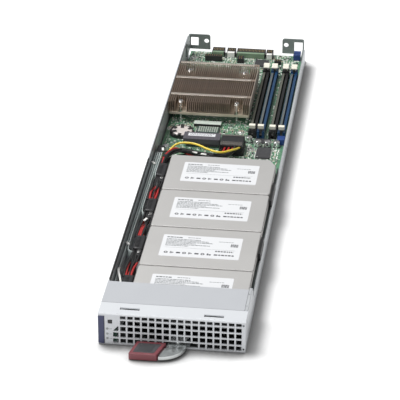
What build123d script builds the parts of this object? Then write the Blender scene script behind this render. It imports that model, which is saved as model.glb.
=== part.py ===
from build123d import *
import math
import os

# Half-width blade server sled. X runs across, Y from the front panel to the
# rear, Z up. While modelling, Y is 0 at the front panel's face; each piece is
# moved back by half the sled's depth when it is written, so that the origin is
# the centre of the floor's underside. All sizes are in millimetres.

# Sheet metal sled
sled_width = 124.0
sled_depth = 586.0
wall_top = 28.5
right_wall_top = 19.5
right_wall_step = 57.0
wall_corner = 4.0
sheet = 1.0
bend_radius = 0.8
wall_start = 12.3
touch_gap = 0.3

# Front panel
panel_sheet = 1.2
panel_flange_depth = 18.8
panel_side_depth = 12.0
panel_bend = 1.6
cover_front = 19.2
cover_length = 35.0
cover_flange_drop = 7.0
cover_flange_inset = 3.0
cover_tab_overlap = 3.0
cover_tab_gap = 0.3
cover_screw_radius = 1.9
cover_screw_recess = 0.15
cover_screw_end = 0.6
screw_hole_clearance = 0.2
hem_width = 2.8
hem_gap = 0.3
hem_hole_inset = 1.9
hem_hole_radius = 0.6
hem_holes = (27.0, 46.5)

# Square perforation
grille_left_margin = 21.1
grille_right_margin = 5.0
grille_rows = 5
grille_pitch_x = 6.08
grille_pitch_z = 5.85
grille_top_row = 27.1
grille_hole_width = 4.7
grille_hole_height = 4.5
grille_low = 1.7
grille_high = 27.9
grille_short_rows = 2
grille_corner_cut = 1.2

# Lanced slots in the panel's top flange
lance_length = 16.6
lance_width = 3.6
tongue_length = 2.7
tongue_drop = 1.4
tongue_joint = 0.5
tongue_side_gap = 0.4
lance_left = (-36.4, 9.8)
lance_right = (34.8, 7.0)

# Controls at the left of the panel
strip_width = 4.9
strip_low = 1.0
strip_high = 27.2
strip_thickness = 0.6
led_inset = 7.8
led_heights = (15.0, 10.1, 5.7)
led_radius = 0.9
led_hole_clearance = 0.2
led_proud = 0.2
strip_inset = 0.2
button_inset = 10.2
button_z = 22.0
button_width = 3.2
button_gap = 0.3
button_proud = 0.4
button_travel = 0.6
button_flange = 5.0
button_flange_thickness = 0.6
front_board_y = 4.4
front_board_thickness = 1.6
front_board_width = 13.4
front_board_height = 25.0
front_board_gap = 0.6
switch_side = 4.5
switch_rest_gap = 0.1

# Ejector lever
pivot_x = 5.0
pivot_y = 4.4
pivot_radius = 2.0
pivot_clearance = 0.08
pivot_washer = 3.0
washer_thickness = 0.5
hub_radius = 7.2
arm_thickness = 3.0
arm_tip = (-8.2, -22.3)
arm_inner = (-2.6, -3.2)
arm_belly = (7.6, -14.9)
tang_corners = ((-27.0, -17.6), (-6.0, -17.6), (-3.4, -7.0), (-24.0, -7.0))
tang_step = 0.6
nose_reach = ((2.0, 5.0), (8.6, 6.4), (6.4, 1.0))
pivot_head_height = 1.0
pivot_head_gap = 0.2
arm_washer_gap = 0.1
lever_slot_low = 1.4
lever_slot_high = 6.2
lever_slot_left = -3.4
lever_slot_right = 18.0
grip_corners = ((-33.4, -22.6), (-9.6, -22.6), (-3.8, -2.0), (-28.8, -2.0))
grip_low = 0.6
grip_high = 6.4
grip_round = 1.2
tang_clearance = 0.1
pocket_corners = ((-27.2, -17.8), (2.0, -17.8), (2.0, -6.8), (-24.2, -6.8))
inlay_depth = 0.9
inlay_margin = 3.0
inlay_front_lean = 0.8
inlay_rear_lean = 0.6
inlay_round = 1.0
inlay_gap = 0.05
inlay_sink = 0.1

# Drives, each a 2.5-inch unit lying across the sled
drive_count = 4
drive_length = 100.2
drive_width = 69.85
drive_gap = 0.95
drive_height = 15.0
drive_top = 27.0
rail_channel = 3.1
drive_first_front = 19.6
lid_thickness = 1.2
lid_inset = 0.5
drive_corner = 2.0
drive_corner_cut = 6.0
drive_corner_run = 11.0
drive_lid_edge = 0.4
connector_recess = 3.2
connector_recess_margin = 1.0
connector_recess_height = 7.6

# Deck that carries the drives
deck_sheet = 1.2
deck_bend = 1.0
deck_window_length = 48.0
deck_window_width = 40.0
deck_window_corner = 4.0
deck_screw_radius = 1.4
deck_screw_head_radius = 2.66
deck_screw_head_height = 1.0
deck_screw_inset_x = 12.0
deck_screw_inset_y = 5.0

# Plugs at the drives' left ends
plug_reach = 7.2
plug_clearance = 0.2
plug_low_above_deck = 0.6
power_plug_start = 43.0
power_plug_length = 21.5
power_plug_height = 5.8
power_cap_reach = 3.2
data_plug_start = 29.5
data_plug_length = 11.0
data_plug_height = 4.6

# Rail at the right of the drives
rail_gap = 0.4
rail_sheet = 1.2
rail_start = 62.0
rail_end = 300.0
rail_window_starts = (87.0, 157.0, 227.0)
rail_window_length = 34.0
rail_window_height = 3.0
clip_height = 6.5
clip_reach = 0.6
clip_spans = ((222.0, 258.0), (123.0, 153.0))

# Motherboard
board_front = 306.0
board_rear_gap = 1.0
board_side_gap = 1.5
board_thickness = 1.6
board_top = 6.0
board_hole_radius = 1.7
standoff_radius = 3.0
board_screw_head = 2.9
board_screw_head_height = 1.6
board_screw_radius = 1.4
screw_head_edge = 0.5
board_screw_places = (
    (-55.0, 312.0),
    (54.0, 312.0),
    (-55.5, 398.5),
    (14.5, 398.5),
    (28.0, 362.0),
    (-54.0, 518.0),
    (14.5, 518.0),
    (-54.5, 567.0),
    (45.0, 557.0),
)

# Processor and heatsink
sink_wall_gap = 0.6
sink_width = 80.9
sink_front = 415.0
sink_length = 96.0
sink_base_low = 14.0
sink_base_thickness = 3.0
sink_top = 28.0
sink_base_corner = 1.0
socket_side = 52.0
socket_corner = 2.0
socket_height = 5.4
cpu_side = 38.0
cpu_substrate_side = 45.0
cpu_substrate_thickness = 1.2
cpu_substrate_gap = 0.2
cpu_substrate_corner = 0.4
fin_pitch = 2.0
fin_thickness = 0.5
fin_band_width = 4.0
fin_band_thickness = 0.6
fin_band_places = (431.5, 471.0)
notch_width = 9.9
notch_depth = 11.5
pocket_length = 12.0
sink_screw_side_insets = (11.7, 13.4)
sink_screw_end_insets = (7.0, 16.0)
sink_screw_radius = 1.4
sink_screw_clearance = 0.3
sink_screw_head_radius = 2.8
sink_screw_head_low = 24.4
sink_screw_head_height = 2.0
spring_radius = 2.5

# Memory sockets
memory_insets = (36.0, 27.5, 16.0, 7.3)
memory_front = 387.0
memory_rear = 535.5
memory_width = 6.5
memory_body_height = 6.5
memory_tower_height = 7.6
memory_tower_length = 7.0
memory_tower_width = 7.6
memory_slot_width = 1.6
memory_slot_depth = 5.0
memory_slot_overrun = 2.0
memory_pocket_width = 2.8
memory_pocket_floor = 1.0
memory_pocket_wall = 0.8
latch_side_gap = 0.3
latch_pivot_in = 3.5
latch_pivot_height = 3.2
latch_hub_radius = 1.9
latch_pin_radius = 0.8
latch_pin_reach = 0.9
latch_pin_gap = 0.2
latch_pin_clearance = 0.07
latch_thickness = 2.8
latch_top = 13.6
latch_head_low = 9.4
latch_head_width = 5.8
latch_head_out = 3.0
latch_head_slope = (0.6, 1.2)
latch_hook_reach = 3.6
latch_hook_heights = (1.4, 2.2)

# Coin battery
battery_inset = 19.0
battery_y = 388.0
battery_radius = 10.0
battery_height = 3.2
holder_radius = 12.0
holder_height = 3.4
holder_floor = 0.9
battery_clearance = 0.25
battery_edge = 0.4
holder_gaps = (35.0, 215.0)
holder_gap_size = (8.0, 3.0)

# Power header and its plug
power_left = -2.0
power_right = 22.0
power_front = 347.0
power_rear = 370.0
power_header_height = 6.0
power_plug_top = 10.8
power_plug_inset = 0.8
power_catch_width = 6.0
power_catch_reach = 1.6
power_catch_step = 0.8

# Flash module: the card and the socket under it
module_card = ((-38.5, -2.6), (360.5, 375.5), (4.0, 9.0))
module_foot = ((-36.0, -5.0), (364.0, 371.0), (0.0, 4.0))

# Pieces on the motherboard, each as its span across, its span along and its height
chip_sizes = (
    ((-29.5, -7.0), (388.5, 402.5), 2.4),
    ((34.0, 47.5), (343.0, 365.0), 1.8),
    ((30.0, 45.0), (375.5, 384.5), 1.4),
    ((11.0, 25.0), (553.0, 568.0), 1.8),
    ((-24.0, -12.0), (320.0, 332.0), 1.6),
    ((-12.0, -2.0), (541.0, 551.0), 1.2),
    ((24.0, 32.0), (322.0, 330.0), 1.2),
    ((40.0, 48.0), (318.0, 324.0), 1.2),
)
capacitor_places = (
    (-51.0, 529.0),
    (-51.0, 540.0),
    (-43.0, 529.0),
    (12.0, 528.0),
    (12.0, 538.0),
    (-54.0, 350.0),
    (34.0, 371.0),
    (43.0, 371.0),
    (52.0, 371.0),
    (-32.0, 341.5),
    (24.5, 378.5),
)
capacitor_radius = 3.1
capacitor_height = 6.0
capacitor_edge = 0.5
choke_first_x = -33.0
choke_count = 4
choke_pitch = 11.0
choke_side = 8.0
choke_front = 521.0
choke_height = 4.6
choke_corner = 1.0
connector_sizes = (
    ((-33.5, -7.0), (405.5, 409.5), 3.0),
    ((52.0, 59.0), (374.5, 383.5), 6.0),
    ((50.0, 57.0), (573.5, 584.0), 6.4),
    ((-42.0, -24.0), (561.5, 566.5), 6.0),
    ((-8.0, -1.0), (560.0, 568.0), 5.0),
    ((31.0, 38.0), (561.0, 566.0), 4.0),
)
rear_connector_spans = ((-36.0, -23.0), (-20.5, -11.5), (-10.0, 20.0), (21.0, 28.0))
rear_connector_length = 13.0
rear_connector_height = 5.6

# Rear brackets
ear_sheet = 1.5
ear_rear_inset = 9.0
ear_top = 29.5
ear_bottom = 13.0
ear_width = 23.0
ear_tab_length = 24.0
ear_bend = 3.0
ear_hole_radius = 2.5
ear_hole_height = 22.5
ear_hole_inset = 19.0
ear_corner = 2.5
ear_step = 3.2
left_window_edge = 2.4
right_window_edge = 1.2
window_inner_edge = 10.5
window_low = 16.7
window_high = 26.3

# Harness and data cables
harness_radius = 2.2
wire_radius = 1.0
cable_width = 6.4
cable_thickness = 1.2
cable_pitch = 1.5
cable_wall_gap = 2.1
cable_height = 14.6
port_front = 322.0
port_length = 14.0
port_margin = 0.4
port_cap = 0.6

half_width = sled_width / 2
inner_half = half_width - sheet
hem_left = half_width - hem_width
hem_hole_x = half_width - hem_hole_inset
plate_top = wall_top + sheet
grille_first_column = grille_left_margin - half_width
grille_span = sled_width - grille_left_margin - grille_right_margin
grille_columns = math.floor(grille_span / grille_pitch_x) + 1
led_x = led_inset - half_width
button_x = button_inset - half_width
deck_top = drive_top - drive_height
drive_pitch = drive_width + drive_gap
deck_right = half_width - rail_channel
drive_left = deck_right - drive_length
sink_left = sink_wall_gap - inner_half
sink_right = sink_left + sink_width
sink_rear = sink_front + sink_length
sink_screw_x = (sink_left + sink_screw_side_insets[0], sink_right - sink_screw_side_insets[1])
sink_screw_y = (sink_front + sink_screw_end_insets[0], sink_rear - sink_screw_end_insets[1])
memory_centres = tuple(half_width - inset for inset in memory_insets)
battery_centre = (battery_inset - half_width, battery_y)
cable_first_x = cable_wall_gap - inner_half
ear_plate_rear = sled_depth - ear_rear_inset
arm_low = sheet + washer_thickness + arm_washer_gap
arm_high = arm_low + arm_thickness
sink_fin_low = sink_base_low + sink_base_thickness
pieces = {}


def block(x, y, z):
    """A box between the low and high values given for each direction."""
    size = Box(x[1] - x[0], y[1] - y[0], z[1] - z[0])
    return Pos((x[0] + x[1]) / 2, (y[0] + y[1]) / 2, (z[0] + z[1]) / 2) * size


def post(x, y, low, high, radius):
    """An upright cylinder."""
    return Pos(x, y, (low + high) / 2) * Cylinder(radius, high - low)


def pin_along_y(x, z, front, rear, radius):
    """A cylinder that points to the rear."""
    return Pos(x, (front + rear) / 2, z) * Rot(90, 0, 0) * Cylinder(radius, rear - front)


def pin_along_x(y, z, left, right, radius):
    """A cylinder that points across the sled."""
    return Pos((left + right) / 2, y, z) * Rot(0, 90, 0) * Cylinder(radius, right - left)


def plate(outline, low, high):
    """An upright extrusion of a flat outline."""
    return Pos(0, 0, low) * extrude(make_face(outline), amount=high - low)


def group(solids):
    """Several separate solids under one name."""
    return Compound(children=[part for piece in solids for part in piece.solids()])


def tube(points, radius):
    """A round tube along straight runs with tangent arcs, each as large as its runs allow."""
    radii = corner_radii(points)
    path = FilletPolyline(*points, radius=radii)
    section = Plane(origin=path @ 0, z_dir=path % 0) * Circle(radius)
    solid = sweep(section, path=path)
    wanted = math.pi * radius ** 2 * path.length
    print("tube radii", [round(r, 1) for r in radii], "volume ratio", round(solid.volume / wanted, 4))
    return solid


def corner_radii(points):
    """The arc radius at each inner point: 0.45 of the shorter run over the tangent of half the turn."""
    radii = []
    for before, here, after in zip(points, points[1:], points[2:]):
        run_in = Vector(*here) - Vector(*before)
        run_out = Vector(*after) - Vector(*here)
        half_turn = math.radians(run_in.get_angle(run_out)) / 2
        radii.append(0.45 * min(run_in.length, run_out.length) / math.tan(half_turn))
    return radii


# Sheet metal
def make_tray():
    floor = block((-half_width, half_width), (0, sled_depth), (0, sheet))
    wall_end = ear_plate_rear - ear_bend / 2
    left = block((-half_width, -inner_half), (wall_start, wall_end), (0, wall_top))
    right = block((inner_half, half_width), (wall_start, wall_end), (0, right_wall_top))
    raised = block((inner_half, half_width), (wall_start, right_wall_step), (0, wall_top))
    hem = block((hem_left, half_width), (cover_front, right_wall_step), (wall_top, plate_top))
    tray = floor + left + right + raised + hem
    low_edges = tray.edges().filter_by(Axis.Y).group_by(Axis.Z)[0]
    tray = fillet(low_edges, bend_radius)
    right_edges = tray.edges().filter_by(Axis.Y).group_by(Axis.X)[-1]
    tray = fillet(right_edges.group_by(Axis.Z)[-1], bend_radius)
    for top in (wall_top, right_wall_top):
        rear_top = tray.edges().filter_by(Axis.X).filter_by_position(Axis.Z, top - 0.1, top + 0.1)
        tray = fillet(rear_top.filter_by_position(Axis.Y, wall_end - 0.1, wall_end + 0.1), wall_corner)
    for y in cover_screw_places():
        tray -= pin_along_x(y, cover_screw_z(), -half_width - 1, -inner_half + 1, screw_hole_radius())
    for y in hem_holes:
        tray -= post(hem_hole_x, y, wall_top - 1, plate_top + 1, hem_hole_radius)
    return tray


def cover_screw_places():
    return (cover_front + cover_length * 0.3, cover_front + cover_length * 0.8)


def cover_screw_z():
    return wall_top - cover_flange_drop * 0.55


def screw_hole_radius():
    return cover_screw_radius + screw_hole_clearance


def grille_holes():
    holes = []
    for column in range(-1, grille_columns):
        x = grille_first_column + column * grille_pitch_x
        for row in range(grille_rows):
            if column < 0 and row < grille_short_rows:
                continue
            z = grille_top_row - row * grille_pitch_z
            low = max(z - grille_hole_height / 2, grille_low)
            high = min(z + grille_hole_height / 2, grille_high)
            cut_corner = column < 0 and row == grille_short_rows
            holes.append(grille_hole(x, low, high, cut_corner))
    return holes


def grille_hole(x, low, high, cut_corner):
    left = x - grille_hole_width / 2
    right = x + grille_hole_width / 2
    corners = [(left, low), (right, low), (right, high), (left, high)]
    if cut_corner:
        corners = corners[:3] + [(right - grille_corner_cut, high)]
    face = make_face(Polyline(*corners, close=True))
    return extrude(Plane.XZ.offset(1) * face, amount=-(panel_sheet + 2))


def lance_tongue(centre):
    """The tongue of a lanced slot, pressed down from its front edge."""
    x, y = centre
    front = y - lance_width / 2
    rear = front + tongue_length
    profile = Polyline(
        (front - tongue_joint, plate_top),
        (front - tongue_joint, wall_top),
        (front, wall_top),
        (rear, wall_top - tongue_drop),
        (rear, plate_top - tongue_drop),
        (front, plate_top),
        close=True,
    )
    left = x - lance_length / 2 + tongue_side_gap
    return extrude(Plane.YZ.offset(left) * make_face(profile), amount=lance_length - 2 * tongue_side_gap)


def make_bezel():
    outer = block((-half_width, half_width), (0, panel_flange_depth), (sheet, plate_top))
    front_top = outer.edges().filter_by(Axis.X).sort_by(lambda e: e.center().Z - e.center().Y)[-1]
    outer = fillet(front_top, panel_bend)
    inside = block((-inner_half, inner_half), (panel_sheet, sled_depth), (0, wall_top))
    behind = block((-half_width - 1, half_width + 1), (panel_side_depth, sled_depth), (0, wall_top))
    bezel = outer - inside - behind
    for hole in grille_holes():
        bezel -= hole
    for centre in (lance_left, lance_right):
        x, y = centre
        slot_x = (x - lance_length / 2, x + lance_length / 2)
        slot_y = (y - lance_width / 2, y + lance_width / 2)
        bezel -= block(slot_x, slot_y, (wall_top - 1, plate_top + 1))
        bezel += lance_tongue(centre)
    through = (-1, panel_sheet + 1)
    bezel -= block((lever_slot_left, lever_slot_right), through, (lever_slot_low, lever_slot_high))
    for z in led_heights:
        bezel -= pin_along_y(led_x, z, -1, panel_sheet + 1, led_radius + led_hole_clearance)
    reach = button_width / 2 + button_gap
    button_hole = block((button_x - reach, button_x + reach), through, (button_z - reach, button_z + reach))
    return bezel - button_hole


def make_cover():
    """A plate with a screwed flange at its left and a tab under the tray's hem at its right."""
    rear = cover_front + cover_length
    cover = block((-half_width, hem_left - hem_gap), (cover_front, rear), (wall_top, plate_top))
    inner_y = (cover_front + cover_flange_inset, rear - cover_flange_inset)
    cover += block((-inner_half, -inner_half + sheet), inner_y, (wall_top - cover_flange_drop, wall_top))
    tab_x = (hem_left - cover_tab_overlap, inner_half - cover_tab_gap)
    cover += block(tab_x, inner_y, (wall_top - sheet, wall_top))
    for place in cover_screw_places():
        cover -= pin_along_x(place, cover_screw_z(), -inner_half - 1, -inner_half + 3, screw_hole_radius())
    return cover


def make_cover_screws():
    outer = -half_width + cover_screw_recess
    inner = -inner_half + sheet + cover_screw_end
    z = cover_screw_z()
    return group([pin_along_x(y, z, outer, inner, cover_screw_radius) for y in cover_screw_places()])


# Front controls
def make_strip():
    left = -half_width + strip_inset
    strip = block((left, left + strip_width), (-strip_thickness, 0), (strip_low, strip_high))
    return fillet(strip.edges().filter_by(Axis.Z).group_by(Axis.Y)[0], 0.3)


def make_leds():
    return group([pin_along_y(led_x, z, -led_proud, front_board_y, led_radius) for z in led_heights])


def make_front_board():
    left = -half_width + sheet + front_board_gap
    rear = front_board_y + front_board_thickness
    board_x = (left, left + front_board_width)
    board = block(board_x, (front_board_y, rear), (sheet, sheet + front_board_height))
    half = switch_side / 2
    button_rear = panel_sheet + touch_gap + button_flange_thickness
    switch_y = (button_rear + button_travel + switch_rest_gap, front_board_y)
    switch = block((button_x - half, button_x + half), switch_y, (button_z - half, button_z + half))
    return board + switch


def make_button():
    half = button_width / 2
    flange_half = button_flange / 2
    flange_front = panel_sheet + touch_gap
    flange_rear = flange_front + button_flange_thickness
    cap_y = (-button_proud, flange_front)
    cap = block((button_x - half, button_x + half), cap_y, (button_z - half, button_z + half))
    cap = fillet(cap.edges().group_by(Axis.Y)[0], 0.4)
    flange_x = (button_x - flange_half, button_x + flange_half)
    flange_z = (button_z - flange_half, button_z + flange_half)
    cap += block(flange_x, (flange_front, flange_rear), flange_z)
    return cap


# Ejector lever: flat arm on an upright pin behind the panel, with a moulded grip
def make_arm():
    right = pivot_x + hub_radius
    left = pivot_x - hub_radius
    outer = ThreePointArc(arm_tip, arm_belly, (right, pivot_y - 1.0))
    edge = Line((right, pivot_y - 1.0), (right, pivot_y))
    back = ThreePointArc((right, pivot_y), (pivot_x, pivot_y + hub_radius), (left, pivot_y))
    neck = Line((left, pivot_y), arm_inner)
    side = Line(arm_inner, arm_tip)
    arm = plate(Curve() + [outer, edge, back, neck, side], arm_low, arm_high)
    arm += plate(Polyline(*tang_corners, close=True), arm_low + tang_step, arm_high - tang_step)
    nose = [(pivot_x + across, pivot_y + along) for across, along in nose_reach]
    arm += plate(Polyline(*nose, close=True), arm_low, arm_high)
    return arm - post(pivot_x, pivot_y, 0, arm_high + 1, pivot_radius + pivot_clearance)


def make_grip():
    grip = plate(Polyline(*grip_corners, close=True), grip_low, grip_high)
    grip = fillet(grip.edges().filter_by(Axis.Z), grip_round)
    rim = grip.edges().group_by(Axis.Z)[-1]
    grip = fillet(rim, grip_round * 0.6)
    grip -= inlay_solid(0.0)
    pocket_low = arm_low + tang_step - tang_clearance
    pocket_high = arm_high - tang_step + tang_clearance
    return grip - plate(Polyline(*pocket_corners, close=True), pocket_low, pocket_high)


def inlay_solid(shrink):
    front_left, front_right, rear_right, rear_left = grip_corners
    margin = inlay_margin + shrink
    corners = (
        (front_left[0] + margin + inlay_front_lean, front_left[1] + margin),
        (front_right[0] - margin + inlay_rear_lean, front_right[1] + margin),
        (rear_right[0] - margin - inlay_front_lean, rear_right[1] - margin),
        (rear_left[0] + margin - inlay_rear_lean, rear_left[1] - margin),
    )
    inlay = plate(Polyline(*corners, close=True), grip_high - inlay_depth, grip_high + 1)
    return fillet(inlay.edges().filter_by(Axis.Z), inlay_round)


def make_inlay():
    left, front = grip_corners[0]
    above = block((left, 0), (front, 0), (grip_high - inlay_sink, grip_high + 2))
    return inlay_solid(inlay_gap) - above


def make_pivot():
    head_low = arm_high + pivot_head_gap
    washer = post(pivot_x, pivot_y, sheet, sheet + washer_thickness, pivot_washer)
    pin = post(pivot_x, pivot_y, sheet, head_low, pivot_radius)
    head = post(pivot_x, pivot_y, head_low, head_low + pivot_head_height, pivot_washer)
    return washer + pin + head


# Drives
def drive_front(number):
    """The front edge of a drive, counted from the rear."""
    return drive_first_front + (drive_count - number) * drive_pitch


def drive_block(number, inset, low, high):
    """A drive's plan between two heights, with one cut corner on the rearmost drive."""
    front = drive_front(number) + inset
    rear = drive_front(number) + drive_width - inset
    right = deck_right - inset
    shape = block((drive_left + inset, right), (front, rear), (low, high))
    shape = fillet(shape.edges().filter_by(Axis.Z), drive_corner)
    if number > 1:
        return shape
    cut = Polyline(
        (right - drive_corner_cut, rear),
        (right, rear - drive_corner_run),
        (right + 1, rear - drive_corner_run),
        (right + 1, rear + 1),
        (right - drive_corner_cut, rear + 1),
        close=True,
    )
    return shape - plate(cut, low - 1, high + 1)


def make_drive_case(number):
    front = drive_front(number)
    case = drive_block(number, 0.0, deck_top, drive_top - lid_thickness)
    recess_front = front + data_plug_start - connector_recess_margin
    recess_rear = front + power_plug_start + power_plug_length + connector_recess_margin
    recess_x = (drive_left - 1, drive_left + connector_recess)
    recess_z = (deck_top - 1, deck_top + connector_recess_height)
    return case - block(recess_x, (recess_front, recess_rear), recess_z)


def make_drive_lid(number):
    lid = drive_block(number, lid_inset, drive_top - lid_thickness, drive_top)
    return chamfer(lid.edges().group_by(Axis.Z)[-1], drive_lid_edge)


def deck_screw_places():
    places = []
    for number in range(1, drive_count + 1):
        front = drive_front(number)
        for x in (drive_left + deck_screw_inset_x, deck_right - deck_screw_inset_x):
            for y in (front + deck_screw_inset_y, front + drive_width - deck_screw_inset_y):
                places.append((x, y))
    return places


def make_deck():
    y = (drive_front(drive_count), drive_front(1) + drive_width)
    deck = block((drive_left, deck_right), y, (sheet, deck_top))
    inside_x = (drive_left + deck_sheet, deck_right - deck_sheet)
    inside = block(inside_x, (0, sled_depth), (0, deck_top - deck_sheet))
    deck -= inside
    top_edges = deck.edges().filter_by(Axis.Y).group_by(Axis.Z)[-1]
    deck = fillet(top_edges, deck_bend)
    for number in range(1, drive_count + 1):
        middle = drive_front(number) + drive_width / 2
        outline = RectangleRounded(deck_window_length, deck_window_width, deck_window_corner)
        deck -= Pos(drive_left + drive_length / 2, middle, deck_top - 2) * extrude(outline, amount=4)
    for x, y in deck_screw_places():
        deck -= post(x, y, deck_top - 3, deck_top + 1, deck_screw_radius + screw_hole_clearance)
    return deck


def make_drive_screws():
    screws = []
    under = deck_top - deck_sheet
    for x, y in deck_screw_places():
        head = post(x, y, under - deck_screw_head_height, under, deck_screw_head_radius)
        screws.append(head + post(x, y, under - 0.5, deck_top, deck_screw_radius))
    return group(screws)


def make_drive_plugs():
    plugs = []
    low = deck_top + plug_low_above_deck
    right = drive_left + connector_recess - plug_clearance
    left = drive_left - plug_reach
    for number in range(1, drive_count + 1):
        front = drive_front(number)
        power_y = (front + power_plug_start, front + power_plug_start + power_plug_length)
        power_z = (low, low + power_plug_height)
        power = block((left, right), power_y, power_z)
        power += block((left - power_cap_reach, left), (power_y[0] + 1, power_y[1] - 1), power_z)
        data_y = (front + data_plug_start, front + data_plug_start + data_plug_length)
        data = block((left, right), data_y, (low, low + data_plug_height))
        plugs += [power, data]
    return group(plugs)


def make_rail():
    x = (deck_right + rail_gap, deck_right + rail_gap + rail_sheet)
    rail = block(x, (rail_start, rail_end), (sheet, right_wall_top))
    window_z = (right_wall_top - 2 * rail_window_height, right_wall_top - rail_window_height)
    for start in rail_window_starts:
        rail -= block((x[0] - 1, x[1] + 1), (start, start + rail_window_length), window_z)
    return rail


def make_clips():
    """Black clips that stand on the rail and on the right wall."""
    x = (deck_right + rail_gap, inner_half + clip_reach)
    return group([block(x, span, (right_wall_top, right_wall_top + clip_height)) for span in clip_spans])


# Motherboard and what is soldered to it
def make_board():
    side = inner_half - board_side_gap
    y = (board_front, sled_depth - board_rear_gap)
    board = block((-side, side), y, (board_top - board_thickness, board_top))
    for x, place in board_screw_places:
        board -= post(x, place, 0, board_top + 1, board_hole_radius)
    return board


def make_standoffs():
    top = board_top - board_thickness
    return group([post(x, y, sheet, top, standoff_radius) for x, y in board_screw_places])


def make_board_screws():
    screws = []
    for x, y in board_screw_places:
        head = post(x, y, board_top, board_top + board_screw_head_height, board_screw_head)
        head = chamfer(head.edges().group_by(Axis.Z)[-1], screw_head_edge)
        screws.append(head + post(x, y, board_top - board_thickness, board_top + 0.5, board_screw_radius))
    return group(screws)


def sink_centre():
    return (sum(sink_screw_x) / 2, sum(sink_screw_y) / 2)


def square(side, low, high, corner):
    x, y = sink_centre()
    return Pos(x, y, low) * extrude(RectangleRounded(side, side, corner), amount=high - low)


def make_socket():
    top = board_top + socket_height
    socket = square(socket_side, board_top, top, socket_corner)
    well_side = cpu_substrate_side + 2 * cpu_substrate_gap
    return socket - square(well_side, top - cpu_substrate_thickness, top + 1, cpu_substrate_corner)


def make_cpu():
    low = board_top + socket_height - cpu_substrate_thickness
    substrate = square(cpu_substrate_side, low, board_top + socket_height, cpu_substrate_corner)
    spreader = square(cpu_side, board_top + socket_height, sink_base_low, socket_corner)
    return substrate + spreader


def make_sink_base():
    base = block((sink_left, sink_right), (sink_front, sink_rear), (sink_base_low, sink_fin_low))
    base = chamfer(base.edges().filter_by(Axis.Z), sink_base_corner)
    hole = sink_screw_radius + sink_screw_clearance
    below = sink_base_low - 1
    above = sink_fin_low + 1
    for x in sink_screw_x:
        for y in sink_screw_y:
            base -= post(x, y, below, above, hole)
        base -= block((x - hole, x + hole), (sink_front - 1, sink_screw_y[0]), (below, above))
    return base


def make_fins():
    """Thin upright fins along the air flow, tied by three bands of folded tabs at their tops."""
    fins = []
    count = int((sink_right - sink_left - fin_thickness) / fin_pitch) + 1
    first = (sink_left + sink_right - (count - 1) * fin_pitch) / 2
    for index in range(count):
        x = first + index * fin_pitch
        spans = [(sink_front, sink_rear)]
        if min(abs(x - screw) for screw in sink_screw_x) < (notch_width + fin_thickness) / 2:
            pocket_front = sink_screw_y[1] - pocket_length / 2
            spans = [(sink_front + notch_depth, pocket_front), (pocket_front + pocket_length, sink_rear)]
        across = (x - fin_thickness / 2, x + fin_thickness / 2)
        fins += [block(across, span, (sink_fin_low, sink_top)) for span in spans]
    left = first - fin_thickness / 2
    right = first + (count - 1) * fin_pitch + fin_thickness / 2
    strips = []
    for start in (*fin_band_places, sink_rear - fin_band_width):
        along = (start, start + fin_band_width)
        strips.append(block((left, right), along, (sink_top - fin_band_thickness, sink_top)))
    return Part() + fins + strips


def make_sink_screws():
    screws = []
    head_high = sink_screw_head_low + sink_screw_head_height
    for x in sink_screw_x:
        for y in sink_screw_y:
            shank = post(x, y, board_top, sink_screw_head_low + 0.5, sink_screw_radius)
            head = post(x, y, sink_screw_head_low, head_high, sink_screw_head_radius)
            head = chamfer(head.edges().group_by(Axis.Z)[-1], screw_head_edge)
            screws.append(shank + head)
    return group(screws)


def make_springs():
    springs = []
    for x in sink_screw_x:
        for y in sink_screw_y:
            sleeve = post(x, y, sink_fin_low, sink_screw_head_low, spring_radius)
            springs.append(sleeve - post(x, y, 0, sink_top + 5, sink_screw_radius + sink_screw_clearance))
    return group(springs)


# Memory sockets with a hinged latch at each end
def make_memory_socket(centre):
    half = memory_width / 2
    tower_half = memory_tower_width / 2
    body_top = board_top + memory_body_height
    tower_top = board_top + memory_tower_height
    socket = block((centre - half, centre + half), (memory_front, memory_rear), (board_top, body_top))
    inner = (memory_front + memory_tower_length, memory_rear - memory_tower_length)
    tower_x = (centre - tower_half, centre + tower_half)
    for tower in ((memory_front, inner[0]), (inner[1], memory_rear)):
        socket += block(tower_x, tower, (board_top, tower_top))
    slot_x = (centre - memory_slot_width / 2, centre + memory_slot_width / 2)
    slot_y = (inner[0] - memory_slot_overrun, inner[1] + memory_slot_overrun)
    socket -= block(slot_x, slot_y, (body_top - memory_slot_depth, tower_top + 1))
    pocket_x = (centre - memory_pocket_width / 2, centre + memory_pocket_width / 2)
    front_pocket = (memory_front - 1, inner[0] - memory_pocket_wall)
    rear_pocket = (inner[1] + memory_pocket_wall, memory_rear + 1)
    for pocket in (front_pocket, rear_pocket):
        socket -= block(pocket_x, pocket, (board_top + memory_pocket_floor, tower_top + 1))
    for y in latch_pivots():
        reach = memory_pocket_width / 2 + latch_pin_reach
        radius = latch_pin_radius + latch_pin_clearance
        socket -= pin_along_x(y, latch_pivot_z(), centre - reach, centre + reach, radius)
    return socket


def latch_pivots():
    return (memory_front + latch_pivot_in, memory_rear - latch_pivot_in)


def latch_pivot_z():
    return board_top + latch_pivot_height


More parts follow.
